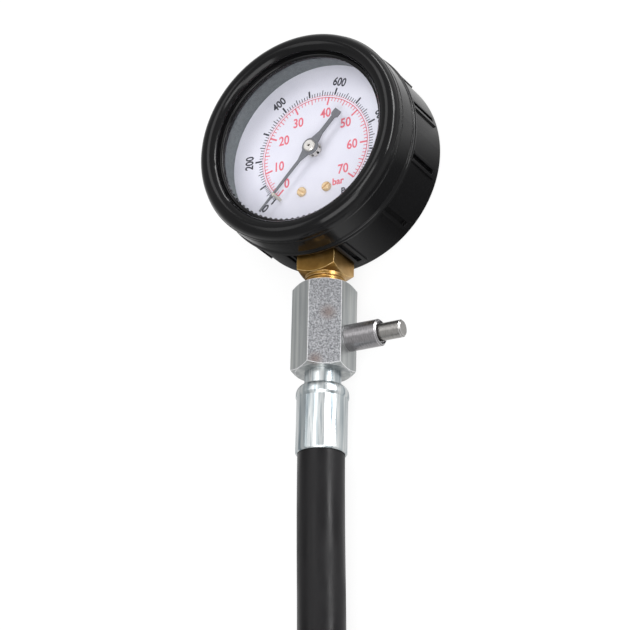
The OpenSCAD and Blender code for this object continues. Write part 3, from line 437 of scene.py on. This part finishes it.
def grain(material, surface, pitch_mm, height_mm, detail=3.0, stretch=None):
    """Bump from noise of that pitch and height, on Object coordinates; stretch scales the axes."""
    place = add(material, "ShaderNodeTexCoord")
    source, output = place, "Object"
    if stretch:
        source = add(material, "ShaderNodeMapping", links=[("Vector", place, "Object")], Scale=stretch)
        output = "Vector"
    noise = add(
        material,
        "ShaderNodeTexNoise",
        links=[("Vector", source, output)],
        Scale=per_metre(pitch_mm),
        Detail=detail,
    )
    bump = add(
        material, "ShaderNodeBump", links=[("Height", noise, "Fac")], Strength=1.0, Distance=height_mm * MM
    )
    material.node_tree.links.new(bump.outputs["Normal"], surface.inputs["Normal"])
    return noise


def soft_edges(material, surface, radius_mm):
    """Edges that catch the light as if broken by a small radius, under whatever bump the surface has."""
    edge = add(material, "ShaderNodeBevel", settings={"samples": 6}, Radius=radius_mm * MM)
    bumps = [n for n in material.node_tree.nodes if n.type == "BUMP"]
    target = bumps[0].inputs["Normal"] if bumps else surface.inputs["Normal"]
    material.node_tree.links.new(edge.outputs["Normal"], target)


def painted_edge_highlight(material, surface, radius_mm, code, share=1.0):
    """Painted edge highlight: the base colour turns to this light one where a small bevel would bend the
    normal.
    """
    edge = add(material, "ShaderNodeBevel", settings={"samples": 8}, Radius=radius_mm * MM)
    flat = add(material, "ShaderNodeNewGeometry")
    bend = add(
        material,
        "ShaderNodeVectorMath",
        settings={"operation": "DOT_PRODUCT"},
        links=[(0, edge, "Normal"), (1, flat, "Normal")],
    )
    painted_highlight = add(material, "ShaderNodeMapRange", links=[("Value", bend, "Value")], To_Max=share)
    painted_highlight.inputs["From Min"].default_value = EDGE_HIGHLIGHT_FROM
    painted_highlight.inputs["From Max"].default_value = EDGE_HIGHLIGHT_TO
    old = surface.inputs["Base Color"].links[0].from_socket
    mixed = add(
        material, "ShaderNodeMix", settings={"data_type": "RGBA"}, links=[("Factor", painted_highlight, "Result")]
    )
    material.node_tree.links.new(old, mixed.inputs[6])
    mixed.inputs[7].default_value = linear(code)
    material.node_tree.links.new(mixed.outputs[2], surface.inputs["Base Color"])


def ramp(material, source, output, stops):
    """A colour ramp: stops are (position, hex colour)."""
    node = add(material, "ShaderNodeValToRGB", links=[("Fac", source, output)])
    bar = node.color_ramp
    while len(bar.elements) > 1:
        bar.elements.remove(bar.elements[-1])
    bar.elements[0].position = stops[0][0]
    bar.elements[0].color = linear(stops[0][1])
    for position, code in stops[1:]:
        element = bar.elements.new(position)
        element.color = linear(code)
    return node


def tint(material, surface, source, output, stops):
    """Surface colour from a ramp over a pattern."""
    node = ramp(material, source, output, stops)
    material.node_tree.links.new(node.outputs["Color"], surface.inputs["Base Color"])


def spread(material, surface, source, output, low, high):
    """Surface roughness from a pattern, between two values."""
    node = add(
        material, "ShaderNodeMapRange", links=[("Value", source, output)], To_Min=low, To_Max=high
    )
    material.node_tree.links.new(node.outputs["Result"], surface.inputs["Roughness"])


def gloss_abs():
    """Gloss-moulded black ABS: mirror-like edges of light with a faint orange peel."""
    material, surface = finish_of("gloss_moulded_abs", "#0b0b0c", roughness=0.16, Specular_IOR_Level=0.18)
    noise = grain(material, surface, 2.5, 0.004, detail=1.0)
    spread(material, surface, noise, "Fac", 0.12, 0.19)
    soft_edges(material, surface, 0.25)
    return material


def satin_abs():
    """Satin-moulded ABS of the case: soft grey reflections with a fine spark grain, drawn at 0.35 mm."""
    material, surface = finish_of("satin_moulded_abs", "#0b0b0c", roughness=0.24, Specular_IOR_Level=0.14)
    noise = grain(material, surface, 0.35, 0.0015)
    tint(material, surface, noise, "Fac", [(0.3, "#0a0a0b"), (0.7, "#0d0d0e")])
    spread(material, surface, noise, "Fac", 0.18, 0.28)
    soft_edges(material, surface, 0.25)
    return material


def clear_window():
    """Moulded polycarbonate: clear from the front, with a reflection that grows towards grazing views.

    Only faces seen from outside reflect, because the rays go straight through and would be caught inside.
    """
    material = bpy.data.materials.new("clear_polycarbonate")
    material.use_nodes = True
    material.node_tree.nodes.clear()
    clear = add(material, "ShaderNodeBsdfTransparent", Color=linear("#fcfcfd"))
    shine = add(material, "ShaderNodeBsdfGlossy", Roughness=0.03, Color=linear("#ffffff"))
    edge = add(material, "ShaderNodeFresnel", IOR=1.3)
    side = add(material, "ShaderNodeNewGeometry")
    outer = add(
        material, "ShaderNodeMath", settings={"operation": "SUBTRACT"}, links=[(1, side, "Backfacing")]
    )
    outer.inputs[0].default_value = 1.0
    share = add(
        material,
        "ShaderNodeMath",
        settings={"operation": "MULTIPLY"},
        links=[(0, edge, "Fac"), (1, outer, "Value")],
    )
    both = add(material, "ShaderNodeMixShader", links=[("Fac", share, "Value")])
    material.node_tree.links.new(clear.outputs["BSDF"], both.inputs[1])
    material.node_tree.links.new(shine.outputs["BSDF"], both.inputs[2])
    add(material, "ShaderNodeOutputMaterial", links=[("Surface", both, "Shader")])
    return material


def grey_spacer():
    """Moulded grey polypropylene ring: matt with a slight mottle."""
    material, surface = finish_of("grey_polypropylene", "#565c5f", roughness=0.5)
    noise = grain(material, surface, 1.2, 0.004)
    tint(material, surface, noise, "Fac", [(0.3, "#585e5f"), (0.7, "#676d6e")])
    return material


def ring_rubber():
    """Black nitrile rubber: dull, faintly uneven."""
    material, surface = finish_of("nitrile_rubber", "#1a1c1e", roughness=0.6)
    noise = grain(material, surface, 0.8, 0.006)
    tint(material, surface, noise, "Fac", [(0.3, "#17191b"), (0.7, "#202325")])
    return material


def dial_enamel():
    """White stoved enamel on aluminium: even, satin, with a very slight cloudiness."""
    material, surface = finish_of("white_stoved_enamel", "#e0e0ea", roughness=0.42)
    noise = grain(material, surface, 6.0, 0.002)
    tint(material, surface, noise, "Fac", [(0.2, "#dddde7"), (0.8, "#e4e4ec")])
    return material


def printed_ink(name, low, high):
    """Screen-printed ink: matt, with density that varies a little."""
    material, surface = finish_of(name, low, roughness=0.6)
    noise = grain(material, surface, 0.3, 0.001)
    tint(material, surface, noise, "Fac", [(0.3, low), (0.7, high)])
    return material


def pointer_paint():
    """Grey stove paint on a blanked aluminium pointer."""
    material, surface = finish_of("grey_pointer_paint", "#6f7276", roughness=0.5)
    noise = grain(material, surface, 0.6, 0.002)
    tint(material, surface, noise, "Fac", [(0.3, "#616367"), (0.7, "#6d6f73")])
    return material


def nickel_plate():
    """Dull nickel plate on brass: warm silver with fine turning marks."""
    material, surface = finish_of("dull_nickel_plate", "#cecabc", metallic=0.9, roughness=0.35)
    noise = grain(material, surface, 0.5, 0.003)
    spread(material, surface, noise, "Fac", 0.28, 0.45)
    return material


def hub_plate():
    """The same nickel plate on the pointer's bush, with the dark punched centre, 0.7 mm wide, in its end."""
    material, surface = finish_of("nickel_plate_centred", "#d6d3cc", metallic=0.8, roughness=0.4)
    grain(material, surface, 0.5, 0.003)
    place = add(material, "ShaderNodeTexCoord")
    across = add(material, "ShaderNodeMapping", links=[("Vector", place, "Object")], Scale=(1, 1, 0))
    away = add(
        material, "ShaderNodeVectorMath", settings={"operation": "LENGTH"}, links=[(0, across, "Vector")]
    )
    share = add(material, "ShaderNodeMath", settings={"operation": "DIVIDE"}, links=[(0, away, "Value")])
    share.inputs[1].default_value = 1.0 * MM
    tint(material, surface, share, "Value", [(0.32, "#2a2622"), (0.42, "#d6d3cc")])
    return material


def turned_brass(name="machined_brass", stretch=(1, 6, 1)):
    """Machined brass bar: warm yellow with fine tool lines, a little tarnish in patches."""
    material, surface = finish_of(name, "#c8a060", metallic=1.0, roughness=0.32)
    place = add(material, "ShaderNodeTexCoord")
    stretched = add(material, "ShaderNodeMapping", links=[("Vector", place, "Object")], Scale=stretch)
    lines = add(
        material,
        "ShaderNodeTexNoise",
        links=[("Vector", stretched, "Vector")],
        Scale=per_metre(1.2),
        Detail=4.0,
    )
    bump = add(
        material, "ShaderNodeBump", links=[("Height", lines, "Fac")], Strength=1.0, Distance=0.006 * MM
    )
    material.node_tree.links.new(bump.outputs["Normal"], surface.inputs["Normal"])
    patches = add(
        material, "ShaderNodeTexNoise", links=[("Vector", place, "Object")], Scale=per_metre(7), Detail=3.0
    )
    tint(material, surface, patches, "Fac", [(0.3, "#8a6834"), (0.5, "#ae8648"), (0.7, "#d0ab70")])
    spread(material, surface, lines, "Fac", 0.26, 0.42)
    # Painted highlight: the edges are turned pale gold, as if they caught the light
    painted_edge_highlight(material, surface, 0.2, "#f6d79a", share=0.7)
    soft_edges(material, surface, 0.2)
    return material


def screw_brass():
    """Lacquered brass screw heads: pale gold, bright where the dome turns to the light."""
    material, surface = finish_of("lacquered_screw_brass", "#dcb680", metallic=0.25, roughness=0.24)
    noise = grain(material, surface, 0.4, 0.003)
    tint(material, surface, noise, "Fac", [(0.3, "#e0bc88"), (0.7, "#f2dab2")])
    soft_edges(material, surface, 0.12)
    return material


def dull_steel():
    """Cold-drawn steel bar: grey flats, one of them blasted and pitted, with two patches of light rust."""
    material, surface = finish_of("cold_drawn_steel", "#a0a2a4", metallic=0.9, roughness=0.42)
    place = add(material, "ShaderNodeTexCoord")
    pits = add(
        material, "ShaderNodeTexNoise", links=[("Vector", place, "Object")], Scale=per_metre(0.5), Detail=5.0
    )
    facing = add(
        material,
        "ShaderNodeVectorMath",
        settings={"operation": "DOT_PRODUCT"},
        links=[(0, place, "Normal")],
    )
    facing.inputs[1].default_value = BLASTED_SIDE
    blasted = add(
        material, "ShaderNodeMapRange", links=[("Value", facing, "Value")], From_Min=0.9, From_Max=0.99
    )
    bump = add(
        material,
        "ShaderNodeBump",
        links=[("Height", pits, "Fac"), ("Strength", blasted, "Result")],
        Distance=0.008 * MM,
    )
    material.node_tree.links.new(bump.outputs["Normal"], surface.inputs["Normal"])
    drawn = add(material, "ShaderNodeMapping", links=[("Vector", place, "Object")], Scale=(1, 0.05, 1))
    lines = add(
        material, "ShaderNodeTexNoise", links=[("Vector", drawn, "Vector")], Scale=per_metre(1.5), Detail=3.0
    )
    plain = ramp(material, lines, "Fac", [(0.3, "#8e9192"), (0.5, "#a0a3a3"), (0.7, "#b2b4b2")])
    rough = ramp(material, pits, "Fac", [(0.36, "#6c6d71"), (0.5, "#8e8f92"), (0.64, "#a8a9ac")])
    tone = add(
        material, "ShaderNodeMix", settings={"data_type": "RGBA"}, links=[("Factor", blasted, "Result")]
    )
    material.node_tree.links.new(plain.outputs["Color"], tone.inputs[6])
    material.node_tree.links.new(rough.outputs["Color"], tone.inputs[7])
    for spot, reach in RUST_SPOTS:
        away = add(
            material, "ShaderNodeVectorMath", settings={"operation": "DISTANCE"}, links=[(0, place, "Object")]
        )
        away.inputs[1].default_value = [c * MM for c in spot]
        near = add(
            material,
            "ShaderNodeMapRange",
            links=[("Value", away, "Value")],
            From_Min=reach * MM,
            From_Max=0.2 * reach * MM,
        )
        patch = add(
            material,
            "ShaderNodeMath",
            settings={"operation": "MULTIPLY"},
            links=[(0, near, "Result"), (1, pits, "Fac")],
        )
        stained = add(
            material, "ShaderNodeMix", settings={"data_type": "RGBA"}, links=[("Factor", patch, "Value")]
        )
        material.node_tree.links.new(tone.outputs[2], stained.inputs[6])
        stained.inputs[7].default_value = linear("#6e5448")
        tone = stained
    material.node_tree.links.new(tone.outputs[2], surface.inputs["Base Color"])
    spread(material, surface, pits, "Fac", 0.34, 0.5)
    # Painted highlight: the edges are turned near white, as if they caught the light
    painted_edge_highlight(material, surface, 0.28, "#f4f4f6")
    return material


def turned_steel(name, low, high):
    """Turned steel: grey with fine rings round the axis, and a painted highlight on its edges."""
    material, surface = finish_of(name, low, metallic=0.95, roughness=0.3)
    noise = grain(material, surface, 0.5, 0.004, stretch=(3, 0.4, 0.4))
    tint(material, surface, noise, "Fac", [(0.3, low), (0.7, high)])
    spread(material, surface, noise, "Fac", 0.24, 0.36)
    # Painted highlight: the edges are turned near white, as if they caught the light
    painted_edge_highlight(material, surface, 0.18, "#e8e8ea")
    return material


def bright_zinc():
    """Bright zinc plate: cool silver with a slight greenish cast and marks drawn out along the hose."""
    material, surface = finish_of("bright_zinc_plate", "#c4c8d0", metallic=1.0, roughness=0.3)
    place = add(material, "ShaderNodeTexCoord")
    drawn = add(material, "ShaderNodeMapping", links=[("Vector", place, "Object")], Scale=(1, 0.05, 1))
    wave = add(
        material, "ShaderNodeTexNoise", links=[("Vector", drawn, "Vector")], Scale=per_metre(1.3), Detail=4.0
    )
    bump = add(material, "ShaderNodeBump", links=[("Height", wave, "Fac")], Strength=1.0, Distance=0.06 * MM)
    material.node_tree.links.new(bump.outputs["Normal"], surface.inputs["Normal"])
    tones = [(0.3, "#79848b"), (0.45, "#a8b0b3"), (0.6, "#cccfcf"), (0.72, "#90999e")]
    tint(material, surface, wave, "Fac", tones)
    spread(material, surface, wave, "Fac", 0.24, 0.4)
    return material


def spring_wire():
    """Drawn spring wire and blued ribbon: dark bright steel."""
    material, surface = finish_of("drawn_spring_wire", "#8e9094", metallic=1.0, roughness=0.3)
    grain(material, surface, 0.2, 0.002)
    return material


def annealed_copper():
    """Annealed copper washer: pinkish, dull."""
    material, surface = finish_of("annealed_copper", "#b87a58", metallic=1.0, roughness=0.45)
    noise = grain(material, surface, 0.8, 0.004)
    tint(material, surface, noise, "Fac", [(0.3, "#a86c4c"), (0.7, "#c08868")])
    return material


def seal_rubber():
    """Moulded seal rubber: black, slightly shiny."""
    material, surface = finish_of("moulded_seal_rubber", "#101011", roughness=0.4)
    grain(material, surface, 0.6, 0.003)
    return material


def hose_cover():
    """Cloth-cured rubber hose: near black, uneven under its fabric impression, with a sheen in patches."""
    material, surface = finish_of("cloth_cured_rubber", "#0c0b0d", roughness=0.4, Specular_IOR_Level=0.2)
    grain(material, surface, 3.2, 0.09, detail=6.0, stretch=(1, 0.4, 1))
    place = add(material, "ShaderNodeTexCoord")
    drawn = add(material, "ShaderNodeMapping", links=[("Vector", place, "Object")], Scale=(1, 0.4, 1))
    handled = add(
        material, "ShaderNodeTexNoise", links=[("Vector", drawn, "Vector")], Scale=per_metre(7), Detail=4.0
    )
    tint(material, surface, handled, "Fac", [(0.35, "#080709"), (0.65, "#0f0e10")])
    spread(material, surface, handled, "Fac", 0.06, 0.76)
    return material


def dress(material, *nodes):
    """Gives CAD nodes one material."""
    for name in nodes:
        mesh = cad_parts[name].data
        mesh.materials.clear()
        mesh.materials.append(material)


red_ink = printed_ink("red_dial_ink", "#de6877", "#e47482")
black_ink = printed_ink("black_dial_ink", "#2a2a34", "#34343e")
brass = turned_brass()
zinc = bright_zinc()
dress(satin_abs(), "case_cup")
dress(gloss_abs(), "bezel_ring")
dress(clear_window(), "window_lens")
dress(ring_rubber(), "lens_gasket")
dress(grey_spacer(), "spacer_ring")
dress(dial_enamel(), "dial_plate")
dress(screw_brass(), "dial_screws")
dress(brass, "movement_back_plate", "movement_front_plate", "movement_pillars", "sector_gear")
dress(brass, "link", "pressure_tube", "tube_tip", "gauge_socket", "end_valve")
dress(nickel_plate(), "stop_pin", "pinion_arbor", "movement_screws")
dress(hub_plate(), "pointer_hub")
dress(pointer_paint(), "pointer")
dress(annealed_copper(), "socket_washer")
dress(dull_steel(), "coupling_body")
dress(turned_steel("turned_steel_sleeve", "#787678", "#989698"), "release_sleeve")
dress(turned_steel("turned_steel_pin", "#84827f", "#9c9a98"), "release_pin")
dress(seal_rubber(), "release_seal", "end_seal")
spring_steel = spring_wire()
dress(spring_steel, "release_spring", "hairspring")
valve_spring.data.materials.append(spring_steel)
dress(zinc, "hose_stem", "upper_ferrule", "lower_ferrule", "end_fitting")
end_fitting.data.materials.append(zinc)
hose.data.materials.append(hose_cover())


def scale_bars():
    """Marks of both scales, the bar scale's inwards from its line and the psi scale's outwards."""
    red, black = [], []
    for bar in range(0, BARS + 1, min(BAR_MARKS)):
        inner, width = BAR_MARKS[next(step for step in BAR_MARKS if bar % step == 0)]
        red.append((bar_angle(bar, FIRST_BAR), inner, BAR_LINE_R, width))
    for psi in range(0, PSIS + 1, min(PSI_MARKS)):
        inner, outer, width = PSI_MARKS[next(step for step in PSI_MARKS if psi % step == 0)]
        black.append((bar_angle(psi / PSI_PER_BAR, FIRST_PSI / PSI_PER_BAR), inner, outer, width))
    return red, black


def scale_words():
    """Numerals: red ones upright inside their marks, black ones along the circle outside theirs."""
    red = [
        (str(10 * k), angle, radius, BAR_FIGURE_SIZE, 0, BAR_FIGURE_WIDE)
        for k, (angle, radius) in enumerate(BAR_FIGURES)
    ]
    black = [
        (str(200 * k), angle, PSI_FIGURES_R, PSI_FIGURE_SIZE, angle - 90, PSI_FIGURE_WIDE)
        for k, angle in enumerate(PSI_FIGURES)
    ]
    return red + [BAR_WORD], black + [PSI_WORD]


red_bars, black_bars = scale_bars()
red_words, black_words = scale_words()
printed_bars("bar_scale_marks", red_bars, red_ink)
printed_bars("psi_scale_marks", black_bars, black_ink)
arc_from = bar_angle(0, FIRST_BAR)
arc_to = bar_angle(BARS, FIRST_BAR)
psi_arc_to = bar_angle(PSIS / PSI_PER_BAR, 0)
printed_arc("bar_scale_line", BAR_LINE_R, BAR_LINE_T, arc_from, arc_to, red_ink)
printed_arc("psi_scale_line", PSI_LINE_R, PSI_LINE_T, arc_from, psi_arc_to, red_ink)
printed_words("bar_figures", red_words, red_ink)
printed_words("psi_figures", black_words, black_ink)


# Serrated ring, in millimetres: the toothed edge under the bezel's lip, a little off centre in its seat
TEETH = 88
TOOTH_STEPS = 10
TEETH_R = 26.75
TEETH_RING_T = 0.6
TEETH_DEPTH = 0.45
TEETH_Z = (26.56, 26.9)
TEETH_OFF = (-0.18, 0.56)


def serrated_ring(finish):
    """A flat ring whose inner edge is toothed.

    The inner radius at angle a is the seat's radius less the tooth depth times the square of the cosine of
    half the tooth count times a. The outer radius is constant, and the whole ring is moved by TEETH_OFF.
    """
    sides = TEETH * TOOTH_STEPS
    a = np.arange(sides) / sides * TURN
    inner = TEETH_R - TEETH_DEPTH * np.cos(TEETH * a / 2) ** 2
    outer = np.full(sides, TEETH_R + TEETH_RING_T)
    radius = np.stack([inner, outer, outer, inner])
    x = radius * np.cos(a) + TEETH_OFF[0]
    y = radius * np.sin(a) + TEETH_OFF[1]
    z = np.array([TEETH_Z[0], TEETH_Z[0], TEETH_Z[1], TEETH_Z[1]])[:, None] + np.zeros(sides)
    points = np.stack([x, y, z], -1).reshape(-1, 3) * MM
    faces = grid_faces(4, sides, close_rows=True)
    piece = mesh_piece("serrated_ring", points, faces, smooth=False)
    piece.data.materials.append(finish)
    fix_normals(piece)


serrated_ring(ring_rubber())


# Studio. The floor lies just under the part and glows for this share of what the camera sees of it. In
# mirrored views it has the second of two strengths, and the first in two shaded places in front of the
# case, whose middles and inner and outer radii are in millimetres
FLOOR_HALF = 6.0
FLOOR_Z = -0.3 * MM
FLOOR_GLOW = 0.85
MIRRORED_STRENGTHS = (0.15, 0.95)
SHADE_SPOTS = [(37, -24), (-22, -40)]
SHADE_R = (15, 32)
FILL_STRENGTH = 0.65
AIM = (0, -0.03, 0.01)
# Softboxes: name, place, size in metres and power in watts
SOFTBOXES = [
    ("key_box", (0.22, -0.68, 0.68), (0.6, 0.6), 5.0),
    ("front_box", (0.33, -0.2, 0.84), (0.3, 0.3), 1.7),
    ("top_box", (-0.1, 0.42, 0.9), (0.4, 0.6), 2.2),
    ("left_box", (-0.5, 0.03, 0.9), (0.5, 0.25), 0.8),
    ("right_box", (0.85, 0.3, 0.3), (0.9, 0.12), 7.0),
    ("back_box", (0.6, 0.77, 0.2), (0.9, 0.12), 4.0),
]


def mirrored_strength(material):
    """How bright the floor is in reflections: full on the open floor, low where the case shades it."""
    place = add(material, "ShaderNodeTexCoord")
    shades = []
    for x, y in SHADE_SPOTS:
        away = add(
            material, "ShaderNodeVectorMath", settings={"operation": "DISTANCE"}, links=[(0, place, "Object")]
        )
        away.inputs[1].default_value = (x * MM, y * MM, 0)
        shade = add(material, "ShaderNodeMapRange", links=[("Value", away, "Value")])
        shade.inputs["From Min"].default_value = SHADE_R[0] * MM
        shade.inputs["From Max"].default_value = SHADE_R[1] * MM
        shades.append(shade)
    open_floor = add(
        material,
        "ShaderNodeMath",
        settings={"operation": "MINIMUM"},
        links=[(0, shades[0], "Result"), (1, shades[1], "Result")],
    )
    low, high = MIRRORED_STRENGTHS
    return add(
        material, "ShaderNodeMapRange", links=[("Value", open_floor, "Value")], To_Min=low, To_Max=high
    )


def white_floor():
    """A wide plain floor just under the part: white to the camera, with a faint shadow kept.

    In mirrored views it is a little dimmer, and dark close in front of the case, where the case shades it.
    """
    corners = [(x * FLOOR_HALF, y * FLOOR_HALF, FLOOR_Z) for x, y in [(-1, -1), (1, -1), (1, 1), (-1, 1)]]
    floor = mesh_piece("floor", corners, [[0, 1, 2, 3]], body=None, smooth=False)
    material, surface = finish_of("white_floor", "#f4f4f4", roughness=0.9)
    output = next(n for n in material.node_tree.nodes if n.type == "OUTPUT_MATERIAL")
    path = add(material, "ShaderNodeLightPath")
    level = add(material, "ShaderNodeMix", links=[("Factor", path, "Is Glossy Ray")], A=1.0)
    material.node_tree.links.new(mirrored_strength(material).outputs["Result"], level.inputs["B"])
    glow = add(material, "ShaderNodeEmission", links=[("Strength", level, "Result")], Color=(1, 1, 1, 1))
    seen = add(
        material,
        "ShaderNodeMath",
        settings={"operation": "MAXIMUM"},
        links=[(0, path, "Is Camera Ray"), (1, path, "Is Transmission Ray")],
    )
    direct = add(material, "ShaderNodeMath", settings={"operation": "MULTIPLY"}, links=[(0, seen, "Value")])
    direct.inputs[1].default_value = FLOOR_GLOW
    share = add(
        material,
        "ShaderNodeMath",
        settings={"operation": "MAXIMUM"},
        links=[(0, direct, "Value"), (1, path, "Is Glossy Ray")],
    )
    both = add(material, "ShaderNodeMixShader", links=[("Fac", share, "Value")])
    material.node_tree.links.new(surface.outputs["BSDF"], both.inputs[1])
    material.node_tree.links.new(glow.outputs["Emission"], both.inputs[2])
    material.node_tree.links.new(both.outputs["Shader"], output.inputs["Surface"])
    floor.data.materials.append(material)


def soft_world():
    """Even grey light all round, white where the camera sees it directly."""
    world = bpy.data.worlds.new("studio")
    bpy.context.scene.world = world
    world.use_nodes = True
    tree = world.node_tree
    tree.nodes.clear()
    fill = tree.nodes.new("ShaderNodeBackground")
    fill.inputs["Color"].default_value = (1, 1, 1, 1)
    fill.inputs["Strength"].default_value = FILL_STRENGTH
    seen = tree.nodes.new("ShaderNodeBackground")
    seen.inputs["Color"].default_value = (1, 1, 1, 1)
    seen.inputs["Strength"].default_value = 1.0
    path = tree.nodes.new("ShaderNodeLightPath")
    mix = tree.nodes.new("ShaderNodeMixShader")
    out = tree.nodes.new("ShaderNodeOutputWorld")
    tree.links.new(path.outputs["Is Camera Ray"], mix.inputs["Fac"])
    tree.links.new(fill.outputs["Background"], mix.inputs[1])
    tree.links.new(seen.outputs["Background"], mix.inputs[2])
    tree.links.new(mix.outputs["Shader"], out.inputs["Surface"])


def softbox(name, at, size, power):
    """A rectangular area lamp, in metres and watts, that faces the part."""
    data = bpy.data.lights.new(name, "AREA")
    data.shape = "RECTANGLE"
    data.size, data.size_y = size
    data.energy = power
    lamp = bpy.data.objects.new(name, data)
    bpy.context.scene.collection.objects.link(lamp)
    lamp.location = at
    lamp.rotation_euler = (Vector(AIM) - Vector(at)).to_track_quat("-Z", "Y").to_euler()


white_floor()
soft_world()
for softbox_row in SOFTBOXES:
    softbox(*softbox_row)
bpy.context.scene.view_settings.view_transform = "Standard"
